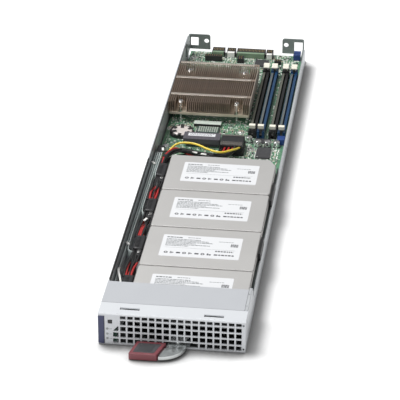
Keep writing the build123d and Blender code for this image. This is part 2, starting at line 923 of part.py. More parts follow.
def make_latch(centre, at_front):
    """An upright hinged catch, drawn for the front end and mirrored for the rear."""
    half = memory_pocket_width / 2 - latch_side_gap
    z = latch_pivot_z()
    y = memory_front + latch_pivot_in
    hub = pin_along_x(y, z, centre - half, centre + half, latch_hub_radius)
    behind = latch_thickness / 2
    stem = block((centre - half, centre + half), (y - behind, y + behind), (z, board_top + latch_top))
    pin_half = memory_pocket_width / 2 + latch_pin_reach - latch_pin_gap
    trunnions = pin_along_x(y, z, centre - pin_half, centre + pin_half, latch_pin_radius)
    head_half = latch_head_width / 2
    top = board_top + latch_top
    low = board_top + latch_head_low
    profile = Polyline(
        (y - latch_head_out, top),
        (y - latch_head_out + latch_head_slope[0], top - latch_head_slope[1]),
        (y - behind, low),
        (y + behind, low),
        (y + latch_hook_reach, low + latch_hook_heights[0]),
        (y + latch_hook_reach, low + latch_hook_heights[1]),
        (y + behind, top),
        close=True,
    )
    head = extrude(Plane.YZ.offset(centre - head_half) * make_face(profile), amount=latch_head_width)
    latch = hub + stem + trunnions + head
    if at_front:
        return latch
    return mirror(latch, Plane.XZ.offset(-(memory_front + memory_rear) / 2))


# Battery
def make_battery_holder():
    x, y = battery_centre
    holder = post(x, y, board_top, board_top + holder_height, holder_radius)
    recess_radius = battery_radius + battery_clearance
    holder -= post(x, y, board_top + holder_floor, board_top + holder_height + 1, recess_radius)
    side, depth = holder_gap_size
    for angle in holder_gaps:
        turned = Pos(x, y, board_top + holder_height) * Rot(0, 0, angle) * Pos(holder_radius, 0, 0)
        holder -= turned * Box(side, side, depth)
    return holder


def make_battery():
    x, y = battery_centre
    low = board_top + holder_floor
    cell = post(x, y, low, low + battery_height, battery_radius)
    return chamfer(cell.edges().group_by(Axis.Z)[-1], battery_edge)


# Power header, plug and other board pieces
def make_power_header():
    header = on_board((power_left, power_right), (power_front, power_rear), power_header_height)
    return chamfer(header.edges().filter_by(Axis.Z), power_plug_inset)


def make_power_plug():
    inset = power_plug_inset
    low = board_top + power_header_height
    high = board_top + power_plug_top
    rear = power_rear - inset
    plug = block((power_left + inset, power_right - inset), (power_front + inset, rear), (low, high))
    plug = fillet(plug.edges().group_by(Axis.Z)[-1], inset)
    middle = (power_left + power_right) / 2
    catch_x = (middle - power_catch_width / 2, middle + power_catch_width / 2)
    return plug + block(catch_x, (rear, rear + power_catch_reach), (low, high - power_catch_step))


def make_flash_module():
    card, foot = [
        block(x, y, (board_top + z[0], board_top + z[1])) for x, y, z in (module_card, module_foot)
    ]
    return fillet(card.edges().filter_by(Axis.Z), 0.8) + foot


def on_board(x, y, height):
    return block(x, y, (board_top, board_top + height))


def make_chips():
    return group([on_board(*size) for size in chip_sizes])


def make_capacitors():
    cans = []
    for x, y in capacitor_places:
        can = post(x, y, board_top, board_top + capacitor_height, capacitor_radius)
        cans.append(chamfer(can.edges().group_by(Axis.Z)[-1], capacitor_edge))
    return group(cans)


def make_chokes():
    chokes = []
    for index in range(choke_count):
        x = choke_first_x + index * choke_pitch
        choke = on_board((x, x + choke_side), (choke_front, choke_front + choke_side), choke_height)
        chokes.append(chamfer(choke.edges().filter_by(Axis.Z), choke_corner))
    return group(chokes)


def make_small_connectors():
    left = cable_first_x - port_margin
    right = cable_first_x + cable_pitch * (drive_count - 1) + cable_thickness + port_margin
    ports_top = cable_height + cable_width / 2 + port_cap
    ports = block((left, right), (port_front, port_front + port_length), (board_top, ports_top))
    return group([ports] + [on_board(*size) for size in connector_sizes])


def make_rear_connectors():
    along = (sled_depth - rear_connector_length, sled_depth)
    return group([on_board(span, along, rear_connector_height) for span in rear_connector_spans])


# Rear brackets
def make_ear(side):
    """A bent bracket: a plate across the rear and a tab along the wall, drawn for the left."""
    outer = -inner_half
    rear = ear_plate_rear
    bar = block((outer, outer + ear_width), (rear - ear_sheet, rear), (ear_bottom, ear_top))
    tab = block((outer, outer + ear_sheet), (rear - ear_tab_length, rear), (ear_bottom, wall_top))
    ear = bar + tab
    corner = ear.edges().filter_by(Axis.Z).filter_by_position(Axis.X, outer - 0.1, outer + 0.1)
    corner = corner.filter_by_position(Axis.Y, rear - 0.1, rear + 0.1)
    ear = fillet(corner, ear_bend)
    top_end = ear.edges().filter_by(Axis.Y).sort_by(lambda e: e.center().X + e.center().Z)[-1]
    ear = fillet(top_end, ear_corner)
    if side > 0:
        low_part = (rear - ear_tab_length - 1, rear - ear_step)
        ear -= block((outer - 1, outer + ear_sheet + 1), low_part, (right_wall_top, wall_top + 1))
    edge = left_window_edge if side < 0 else right_window_edge
    low = window_low if side < 0 else ear_bottom - 1
    through = (rear - ear_sheet - 1, rear + 1)
    ear -= block((outer + edge, outer + window_inner_edge), through, (low, window_high))
    ear -= pin_along_y(outer + ear_hole_inset, ear_hole_height, *through, ear_hole_radius)
    return ear if side < 0 else mirror(ear, Plane.YZ)


# Cables, held between their plugs
def harness_routes():
    trunk = [
        (14.0, power_front + power_plug_inset, 14.4),
        (12.0, 331.0, 15.2),
        (-4.0, 321.0, 17.0),
        (-24.0, 326.0, 19.0),
        (-42.0, 322.0, 21.2),
        (-50.0, 304.0, 22.0),
        (-49.5, 272.0, 21.2),
        (-51.0, 238.0, 22.2),
        (-49.5, 204.0, 21.2),
        (-51.0, 168.0, 22.2),
        (-49.5, 134.0, 21.2),
        (-51.0, 104.0, 22.0),
        (-49.8, 76.0, 20.8),
    ]
    yellow = [
        (18.0, power_front + power_plug_inset, 14.4),
        (14.0, 331.0, 19.5),
        (3.0, 325.0, 20.6),
        (-9.0, 333.5, 21.0),
        (-22.0, 339.0, 21.8),
        (-38.0, 337.0, 23.2),
        (-50.0, 326.0, 24.6),
        (-56.0, 309.0, 24.8),
        (-55.0, 282.0, 22.4),
        (-56.5, 255.0, 21.4),
        (-54.6, 222.0, 22.4),
        (-56.5, 190.0, 21.2),
        (-54.6, 156.0, 22.4),
        (-56.0, 124.0, 21.4),
        (-55.4, 98.0, 22.2),
        (-53.8, 80.0, 21.2),
        (-50.4, 67.0, 19.6),
    ]
    return trunk, yellow


def make_harness():
    trunk, yellow = harness_routes()
    plug = make_power_plug()
    return group([tube(trunk, harness_radius) - plug, tube(yellow, wire_radius) - plug])


def make_data_cables():
    cables = []
    left = drive_left - plug_reach
    z = (cable_height - cable_width / 2, cable_height + cable_width / 2)
    for number in range(1, drive_count + 1):
        rear = drive_front(number) + data_plug_start + data_plug_length / 2
        front = rear - cable_thickness
        x = cable_first_x + (drive_count - number) * cable_pitch
        cable = block((x, x + cable_thickness), (rear, port_front), z) + block((x, left), (front, rear), z)
        corner = cable.edges().filter_by(Axis.Z).filter_by_position(Axis.X, x - 0.01, x + 0.01)
        corner = corner.filter_by_position(Axis.Y, front - 0.01, front + 0.01)
        cables.append(fillet(corner, cable_thickness * 2))
    return group(cables)


def build():
    pieces["tray"] = make_tray()
    pieces["left_ear"] = make_ear(-1)
    pieces["right_ear"] = make_ear(1)
    pieces["front_bezel"] = make_bezel()
    pieces["front_cover"] = make_cover()
    pieces["cover_screws"] = make_cover_screws()
    pieces["id_strip"] = make_strip()
    pieces["led_lenses"] = make_leds()
    pieces["front_board"] = make_front_board()
    pieces["power_button"] = make_button()
    pieces["lever_arm"] = make_arm()
    pieces["lever_grip"] = make_grip()
    pieces["lever_inlay"] = make_inlay()
    pieces["lever_pivot"] = make_pivot()
    for number in range(1, drive_count + 1):
        pieces[f"drive_{number}_case"] = make_drive_case(number)
        pieces[f"drive_{number}_lid"] = make_drive_lid(number)
    pieces["drive_deck"] = make_deck()
    pieces["drive_screws"] = make_drive_screws()
    pieces["drive_plugs"] = make_drive_plugs()
    pieces["side_rail"] = make_rail()
    pieces["side_clips"] = make_clips()
    pieces["motherboard"] = make_board()
    pieces["standoffs"] = make_standoffs()
    pieces["board_screws"] = make_board_screws()
    pieces["cpu_socket"] = make_socket()
    pieces["cpu"] = make_cpu()
    pieces["heatsink_base"] = make_sink_base()
    pieces["heatsink_fins"] = make_fins()
    pieces["heatsink_screws"] = make_sink_screws()
    pieces["heatsink_springs"] = make_springs()
    for number, centre in enumerate(memory_centres, 1):
        pieces[f"memory_socket_{number}"] = make_memory_socket(centre)
        pieces[f"memory_{number}_front_latch"] = make_latch(centre, True)
        pieces[f"memory_{number}_rear_latch"] = make_latch(centre, False)
    pieces["battery_holder"] = make_battery_holder()
    pieces["battery_cell"] = make_battery()
    pieces["power_header"] = make_power_header()
    pieces["power_plug"] = make_power_plug()
    pieces["flash_module"] = make_flash_module()
    pieces["chips"] = make_chips()
    pieces["capacitors"] = make_capacitors()
    pieces["chokes"] = make_chokes()
    pieces["small_connectors"] = make_small_connectors()
    pieces["rear_connectors"] = make_rear_connectors()
    pieces["power_harness"] = make_harness()
    pieces["data_cables"] = make_data_cables()


def write():
    os.makedirs("parts", exist_ok=True)
    for name, shape in pieces.items():
        centred = Compound([Pos(0, -sled_depth / 2, 0) * solid for solid in shape.solids()])
        export_step(centred, f"parts/{name}.step")
    print(len(pieces), "nodes written")


build()
write()
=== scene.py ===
import math
import random

import bmesh
import bpy
from mathutils import Matrix, Vector


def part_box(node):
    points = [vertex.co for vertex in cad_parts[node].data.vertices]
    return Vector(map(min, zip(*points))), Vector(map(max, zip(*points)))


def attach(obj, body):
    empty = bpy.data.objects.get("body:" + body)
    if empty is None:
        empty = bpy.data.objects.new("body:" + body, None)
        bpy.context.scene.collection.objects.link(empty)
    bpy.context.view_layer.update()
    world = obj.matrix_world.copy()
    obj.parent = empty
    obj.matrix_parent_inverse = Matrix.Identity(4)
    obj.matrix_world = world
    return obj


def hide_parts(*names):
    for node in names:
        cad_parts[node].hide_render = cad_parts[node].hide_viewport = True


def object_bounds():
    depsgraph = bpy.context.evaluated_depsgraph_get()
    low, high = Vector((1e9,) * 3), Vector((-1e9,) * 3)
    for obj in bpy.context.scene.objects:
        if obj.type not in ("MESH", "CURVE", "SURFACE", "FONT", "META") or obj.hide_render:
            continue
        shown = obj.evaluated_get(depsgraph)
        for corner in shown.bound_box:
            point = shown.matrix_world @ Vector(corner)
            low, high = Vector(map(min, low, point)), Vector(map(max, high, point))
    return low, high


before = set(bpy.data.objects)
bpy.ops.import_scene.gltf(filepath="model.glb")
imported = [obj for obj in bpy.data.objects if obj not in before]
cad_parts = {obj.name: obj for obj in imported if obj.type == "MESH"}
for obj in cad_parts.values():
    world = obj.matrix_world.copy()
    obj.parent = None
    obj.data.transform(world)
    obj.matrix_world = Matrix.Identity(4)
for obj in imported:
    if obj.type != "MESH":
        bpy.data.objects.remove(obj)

bl_info = {
    "name": "Blade server sled",
    "version": (1, 0, 0),
    "blender": (4, 5, 0),
    "location": "View3D > Sidebar > Blade server",
    "description": "Dresses a blade server sled: sheet metal, drives, cables, board, cooler and memory sockets",
    "category": "Object",
}

# The frame is in metres. Places along the sled are given from the panel's face, in millimetres.
MM = 0.001
CAD_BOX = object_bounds()
BOARD_REAR = 585.0
PANEL_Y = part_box("motherboard")[1][1] - BOARD_REAR * MM
BOARD_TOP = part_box("motherboard")[1][2] / MM
LID_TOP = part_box("drive_1_lid")[1][2] / MM
SLED = "sled"
LEVER = "lever"
# A drive's plug that is wider than this is its power plug.
POWER_PLUG_WIDTH = 15.0
# The small connectors in front of this place are the data cables' ports.
DATA_PORTS_REAR = 335.0
# What a slanted track's two coordinates are scaled by, so that its pitch is the same as a straight one's.
DIAGONAL = 0.7071
# How far a piece that lies on a face, or meets one, reaches past it.
SKIN = 0.05
# How far ink stands above and reaches below the face it is printed on.
INK = 0.02


def place(x, y, z):
    """A point in the frame from millimetres across, back from the panel's face, and up."""
    return Vector((x * MM, PANEL_Y + y * MM, z * MM))


def extent(node):
    """The lowest and highest corners of a node, in the same millimetres as place."""
    low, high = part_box(node)
    shift = Vector((0.0, PANEL_Y, 0.0))
    return (Vector(low) - shift) / MM, (Vector(high) - shift) / MM


def islands(node):
    """The lowest and highest corners of each separate solid of a node, sorted along the sled."""
    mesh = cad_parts[node].data
    parent = list(range(len(mesh.vertices)))

    def root(index):
        while parent[index] != index:
            parent[index] = parent[parent[index]]
            index = parent[index]
        return index

    by_place = {}
    for vertex in mesh.vertices:
        key = tuple(round(value * 1e6) for value in vertex.co)
        first = by_place.setdefault(key, vertex.index)
        parent[root(vertex.index)] = root(first)
    for edge in mesh.edges:
        parent[root(edge.vertices[0])] = root(edge.vertices[1])
    boxes = {}
    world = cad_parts[node].matrix_world
    for vertex in mesh.vertices:
        point = (world @ vertex.co - Vector((0, PANEL_Y, 0))) / MM
        low, high = boxes.setdefault(root(vertex.index), (point.copy(), point.copy()))
        for axis in range(3):
            low[axis] = min(low[axis], point[axis])
            high[axis] = max(high[axis], point[axis])
    return sorted(boxes.values(), key=lambda pair: (round(pair[0].y, 2), round(pair[0].x, 2)))


def on_circle(x, y, radius, angle):
    """The point of a circle at an angle in radians."""
    return x + radius * math.cos(angle), y + radius * math.sin(angle)


def directions(path, index):
    """The unit directions to the side of a path of points and up from it, at one of its points."""
    before = path[max(index - 1, 0)]
    after = path[min(index + 1, len(path) - 1)]
    along = (after - before).normalized()
    side = along.cross(Vector((0, 0, 1)))
    side = side.normalized() if side.length > 1e-6 else Vector((1, 0, 0))
    return side, side.cross(along).normalized()


class Sketch:
    """Collects closed solids in one mesh, in millimetres from the panel's face."""

    def __init__(self):
        self.mesh = bmesh.new()

    def box(self, low, high, turn=0.0):
        """A block between two corners, turned about its own middle by turn degrees."""
        made = bmesh.ops.create_cube(self.mesh, size=1.0)["verts"]
        middle = (Vector(low) + Vector(high)) / 2
        size = Vector(high) - Vector(low)
        spin = Matrix.Rotation(math.radians(turn), 3, "Z")
        for vertex in made:
            vertex.co = middle + spin @ Vector(a * b for a, b in zip(vertex.co, size))

    def post(self, centre, radius, height, sides=24, top=None, axis="Z"):
        """A round post that starts at centre; top is its far radius where it tapers."""
        far = radius if top is None else top
        made = bmesh.ops.create_cone(
            self.mesh, cap_ends=True, segments=sides, radius1=radius, radius2=far, depth=height
        )["verts"]
        turns = {
            "X": Matrix.Rotation(math.pi / 2, 3, "Y"),
            "Y": Matrix.Rotation(-math.pi / 2, 3, "X"),
            "Z": Matrix.Identity(3),
        }
        lift = Vector((0, 0, height / 2))
        for vertex in made:
            vertex.co = Vector(centre) + turns[axis] @ (vertex.co + lift)

    def prism(self, outline, low, high):
        """An upright block over a flat outline of corners."""
        lower = [self.mesh.verts.new((x, y, low)) for x, y in outline]
        upper = [self.mesh.verts.new((x, y, high)) for x, y in outline]
        self.mesh.faces.new(list(reversed(lower)))
        self.mesh.faces.new(upper)
        self.walls((lower, upper))

    def ring(self, centre, inner, outer, low, high, sides=32):
        """A flat washer."""
        turn = [2 * math.pi * step / sides for step in range(sides)]
        rows = []
        for radius, z in ((inner, low), (outer, low), (outer, high), (inner, high)):
            rows.append([self.mesh.verts.new((*on_circle(*centre, radius, angle), z)) for angle in turn])
        self.walls(rows + rows[:1])

    def tube(self, path, radius, sides=12):
        """A closed tube round a path of points."""
        turn = [2 * math.pi * step / sides for step in range(sides)]
        self.sweep(path, [(radius * math.cos(angle), radius * math.sin(angle)) for angle in turn])

    def sweep(self, path, profile):
        """A closed bar along a path of points; the profile's points are to its side and up from it."""
        rows = []
        for index, point in enumerate(path):
            side, up = directions(path, index)
            rows.append([self.mesh.verts.new(point + side * across + up * above) for across, above in profile])
        self.walls(rows)
        self.mesh.faces.new(list(reversed(rows[0])))
        self.mesh.faces.new(rows[-1])

    def walls(self, rows):
        """Faces from each closed row of corners to the next row."""
        for row, following in zip(rows, rows[1:]):
            for step in range(len(row)):
                after = (step + 1) % len(row)
                self.mesh.faces.new((row[step], row[after], following[after], following[step]))

    def piece(self, name, material, slot=None, body=SLED, bevel=0.0, segments=2, smooth=40.0):
        """Turns what was collected into a named piece that rides on a body."""
        bmesh.ops.recalc_face_normals(self.mesh, faces=self.mesh.faces)
        for vertex in self.mesh.verts:
            vertex.co = place(*vertex.co)
        data = bpy.data.meshes.new(name)
        self.mesh.to_mesh(data)
        self.mesh.free()
        data.polygons.foreach_set("use_smooth", [True] * len(data.polygons))
        data.set_sharp_from_angle(angle=math.radians(smooth))
        data.materials.append(material)
        made = bpy.data.objects.new(name, data)
        bpy.context.scene.collection.objects.link(made)
        if bevel:
            soften(made, bevel, segments, smooth)
        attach(made, body)
        return made


def paint(node, material, edge=0.0):
    """Gives a node of the frame its finish and, where edge is set, broken edges of that many millimetres."""
    node_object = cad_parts[node]
    for slot in node_object.material_slots:
        slot.material = material
    if not node_object.material_slots:
        node_object.data.materials.append(material)
    if edge:
        soften(node_object, edge)


def soften(target, width, segments=2, angle=40.0):
    """Rounds a piece's sharp edges."""
    edge = target.modifiers.new("edges", "BEVEL")
    edge.width = width * MM
    edge.segments = segments
    edge.limit_method = "ANGLE"
    edge.angle_limit = math.radians(angle)


def curve_piece(name, routes, radius, material, body=SLED, resolution=3):
    """Round wires along smooth splines whose control points are the routes."""
    data = bpy.data.curves.new(name, "CURVE")
    data.dimensions = "3D"
    data.bevel_depth = radius * MM
    data.bevel_resolution = resolution
    data.resolution_u = 8
    data.use_fill_caps = True
    for route in routes:
        spline = data.splines.new("NURBS")
        spline.points.add(len(route) - 1)
        for point, where in zip(spline.points, route):
            point.co = (*place(*where), 1.0)
        spline.order_u = 3
        spline.use_endpoint_u = True
    data.materials.append(material)
    made = bpy.data.objects.new(name, data)
    bpy.context.scene.collection.objects.link(made)
    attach(made, body)
    return made


def smooth_path(route, steps=8):
    """Points along the smooth spline of a route, in millimetres from the panel's face."""
    data = bpy.data.curves.new("path", "CURVE")
    data.dimensions = "3D"
    data.resolution_u = steps
    spline = data.splines.new("NURBS")
    spline.points.add(len(route) - 1)
    for point, where in zip(spline.points, route):
        point.co = (*where, 1.0)
    spline.order_u = 3
    spline.use_endpoint_u = True
    holder = bpy.data.objects.new("path", data)
    mesh = bpy.data.meshes.new_from_object(holder)
    path = [vertex.co.copy() for vertex in mesh.vertices]
    bpy.data.objects.remove(holder)
    bpy.data.curves.remove(data)
    bpy.data.meshes.remove(mesh)
    return path


# Finishes
class NodeWork:
    """A material's node tree with short calls for the nodes that the finishes share."""

    def __init__(self, name, colour, roughness, metallic=0.0):
        self.material = bpy.data.materials.new(name)
        self.material.use_nodes = True
        self.tree = self.material.node_tree
        self.shader = self.tree.nodes["Principled BSDF"]
        self.shader.inputs["Base Color"].default_value = (*colour, 1.0)
        self.shader.inputs["Roughness"].default_value = roughness
        self.shader.inputs["Metallic"].default_value = metallic
        self.colour = colour
        self.roughness = roughness
        self.place = self.node("ShaderNodeTexCoord").outputs["Object"]

    def node(self, kind, **settings):
        """A new node with its settings."""
        made = self.tree.nodes.new(kind)
        for key, value in settings.items():
            setattr(made, key, value)
        return made

    def link(self, source, target):
        """Joins one node's output to another's input."""
        self.tree.links.new(source, target)

    def stretched(self, stretch):
        """The object's own coordinates, scaled by stretch along each axis."""
        mapping = self.node("ShaderNodeMapping")
        mapping.inputs["Scale"].default_value = stretch
        self.link(self.place, mapping.inputs["Vector"])
        return mapping.outputs["Vector"]

    def noise(self, per_metre, detail=3.0, rough=0.55, stretch=(1, 1, 1)):
        """A noise with per_metre blots to the metre."""
        made = self.node("ShaderNodeTexNoise")
        made.inputs["Scale"].default_value = per_metre
        made.inputs["Detail"].default_value = detail
        made.inputs["Roughness"].default_value = rough
        self.link(self.stretched(stretch), made.inputs["Vector"])
        return made.outputs["Fac"]

    def remap(self, value, low, high, start=0.0, end=1.0):
        """Low to high, as value goes from start to end."""
        made = self.node("ShaderNodeMapRange")
        for socket, number in (("From Min", start), ("From Max", end), ("To Min", low), ("To Max", high)):
            made.inputs[socket].default_value = number
        self.link(value, made.inputs["Value"])
        return made.outputs["Result"]

    def maths(self, operation, first, second=None):
        """One sum of values or numbers."""
        made = self.node("ShaderNodeMath", operation=operation)
        for socket, value in zip(made.inputs, (first, second)):
            if value is None:
                continue
            if isinstance(value, (int, float)):
                socket.default_value = value
            else:
                self.link(value, socket)
        return made.outputs["Value"]

    def blend(self, first, first_share, second, second_share):
        """The sum of two values, each times its share."""
        one = self.maths("MULTIPLY", first, first_share)
        other = self.maths("MULTIPLY", second, second_share)
        return self.maths("ADD", one, other)

    def mix(self, share, first, second):
        """From the first colour to the second, as share goes from 0 to 1."""
        made = self.node("ShaderNodeMix", data_type="RGBA")
        sockets = [s for s in made.inputs if s.type == "RGBA"]
        self.link(share, made.inputs["Factor"])
        for socket, value in zip(sockets, (first, second)):
            if isinstance(value, (tuple, list)):
                socket.default_value = (*value, 1.0)
            else:
                self.link(value, socket)
        return [s for s in made.outputs if s.type == "RGBA"][0]

    def tint(self, value, amount):
        """The base colour, darker and lighter by amount as value goes from 0 to 1."""
        dark = tuple(max(c * (1 - amount), 0.0) for c in self.colour)
        light = tuple(min(c * (1 + amount), 1.0) for c in self.colour)
        result = self.mix(value, dark, light)
        self.link(result, self.shader.inputs["Base Color"])
        return result

    def rough(self, value, spread):
        """The roughness, lower and higher by spread as a noise goes through its middle range."""
        spread_over = self.remap(value, self.roughness - spread, self.roughness + spread, 0.3, 0.7)
        self.link(spread_over, self.shader.inputs["Roughness"])

    def bump(self, height, strength, depth_mm):
        """A relief of a depth in millimetres."""
        made = self.node("ShaderNodeBump")
        made.inputs["Strength"].default_value = strength
        made.inputs["Distance"].default_value = depth_mm * MM
        self.link(height, made.inputs["Height"])
        self.link(made.outputs["Normal"], self.shader.inputs["Normal"])


def powder_coat(name, colour, roughness=0.5):
    """Painted sheet: fine orange peel, faint clouding."""
    work = NodeWork(name, colour, roughness)
    work.tint(work.noise(9.0, 2.0), 0.035)
    work.rough(work.noise(60.0), 0.06)
    work.bump(work.noise(1800.0, 2.0), 0.25, 0.03)
    return work.material


def rolled_steel(name, colour, roughness=0.34, grain=(1, 0.02, 1), metallic=1.0):
    """Plated sheet: long rolling streaks and a soft clouded plating."""
    work = NodeWork(name, colour, roughness, metallic)
    streaks = work.noise(900.0, 3.0, 0.6, grain)
    clouds = work.noise(22.0, 3.0)
    both = work.blend(streaks, 0.55, clouds, 0.45)
    work.tint(both, 0.10)
    work.rough(both, 0.09)
    work.bump(streaks, 0.12, 0.02)
    return work.material


def turned_metal(name, colour, roughness=0.25):
    """Small machined or plated hardware with fine wear."""
    work = NodeWork(name, colour, roughness, 1.0)
    wear = work.noise(700.0, 4.0)
    work.tint(wear, 0.08)
    work.rough(wear, 0.10)
    work.bump(work.noise(2500.0, 2.0), 0.1, 0.01)
    return work.material


def moulded(name, colour, roughness=0.45, texture=0.3, coat=0.0):
    """Moulded plastic with a spark-eroded grain and faint flow marks."""
    work = NodeWork(name, colour, roughness)
    work.shader.inputs["Coat Weight"].default_value = coat
    work.tint(work.noise(45.0, 2.0), 0.07)
    work.rough(work.noise(250.0, 3.0), 0.08)
    work.bump(work.noise(3200.0, 2.0), texture, 0.02)
    return work.material


def latch_with_painted_shade(name, colour, shade, from_mm, to_mm):
    """Moulded plastic whose stem is painted dark below its head: painted shade inside the socket."""
    work = NodeWork(name, colour, 0.4)
    parts = work.node("ShaderNodeSeparateXYZ")
    work.link(work.place, parts.inputs["Vector"])
    share = work.remap(parts.outputs["Z"], 0.0, 1.0, from_mm * MM, to_mm * MM)
    work.link(work.mix(share, shade, colour), work.shader.inputs["Base Color"])
    work.rough(work.noise(250.0, 3.0), 0.08)
    work.bump(work.noise(3200.0, 2.0), 0.3, 0.02)
    return work.material


def cast_alloy(name, colour, roughness=0.42):
    """Blasted aluminium."""
    work = NodeWork(name, colour, roughness, 0.75)
    fine = work.noise(2600.0, 3.0)
    work.tint(work.noise(30.0, 3.0), 0.05)
    work.rough(fine, 0.06)
    work.bump(fine, 0.2, 0.02)
    return work.material


def paper(name, colour):
    """Matt paper or ink with fine fibres."""
    work = NodeWork(name, colour, 0.55)
    fibres = work.noise(1500.0, 4.0)
    work.tint(fibres, 0.02)
    work.rough(fibres, 0.05)
    work.bump(fibres, 0.08, 0.01)
    return work.material


def circuit_board(name, colour, track, via, pitch_mm=0.9):
    """Green mask over copper tracks that change direction from patch to patch, with small vias."""
    work = NodeWork(name, colour, 0.38)
    work.shader.inputs["Coat Weight"].default_value = 0.3
    work.shader.inputs["Coat Roughness"].default_value = 0.25
    split = work.node("ShaderNodeSeparateXYZ")
    work.link(work.place, split.inputs["Vector"])
    patches = work.node("ShaderNodeTexVoronoi")
    patches.inputs["Scale"].default_value = 75.0
    work.link(work.place, patches.inputs["Vector"])
    choice = work.node("ShaderNodeSeparateColor")
    work.link(patches.outputs["Color"], choice.inputs["Color"])
    slant = work.maths("ADD", split.outputs["X"], split.outputs["Y"])
    crosswise = work.maths("GREATER_THAN", choice.outputs["Red"], 0.4)
    slanted = work.maths("GREATER_THAN", choice.outputs["Green"], 0.55)
    lengthwise = work.maths("SUBTRACT", 1.0, crosswise)
    along = work.blend(split.outputs["X"], crosswise, split.outputs["Y"], lengthwise)
    square = work.maths("SUBTRACT", 1.0, slanted)
    route = work.blend(slant, work.maths("MULTIPLY", slanted, DIAGONAL), along, square)
    step = work.maths("FRACT", work.maths("MULTIPLY", route, 1.0 / (pitch_mm * MM)))
    line = work.maths("LESS_THAN", step, 0.42)
    routed = work.maths("GREATER_THAN", work.noise(160.0, 1.0), 0.46)
    tracks = work.maths("MULTIPLY", line, routed)
    vias = work.node("ShaderNodeTexVoronoi")
    vias.inputs["Scale"].default_value = 420.0
    work.link(work.place, vias.inputs["Vector"])
    hole = work.maths("LESS_THAN", vias.outputs["Distance"], 0.16)
    drilled = work.maths("MULTIPLY", hole, work.maths("GREATER_THAN", work.noise(90.0, 1.0), 0.55))
    clouds = work.tint(work.noise(40.0, 3.0), 0.25)
    tracked = work.mix(tracks, clouds, track)
    work.link(work.mix(drilled, tracked, via), work.shader.inputs["Base Color"])
    work.bump(tracks, 0.25, 0.03)
    return work.material


def stamped_fins(name, colour, roughness=0.36):
    """Thin aluminium fins, dulled and slightly uneven from one to the next."""
    work = NodeWork(name, colour, roughness, 0.85)
    each = work.noise(520.0, 1.0, 0.5, (1, 0.01, 0.01))
    work.tint(work.blend(each, 0.7, work.noise(60.0), 0.3), 0.35)
    work.rough(work.noise(300.0), 0.08)
    work.bump(work.noise(900.0, 3.0, 0.6, (1, 0.05, 1)), 0.15, 0.03)
    return work.material


FINISHES = {}


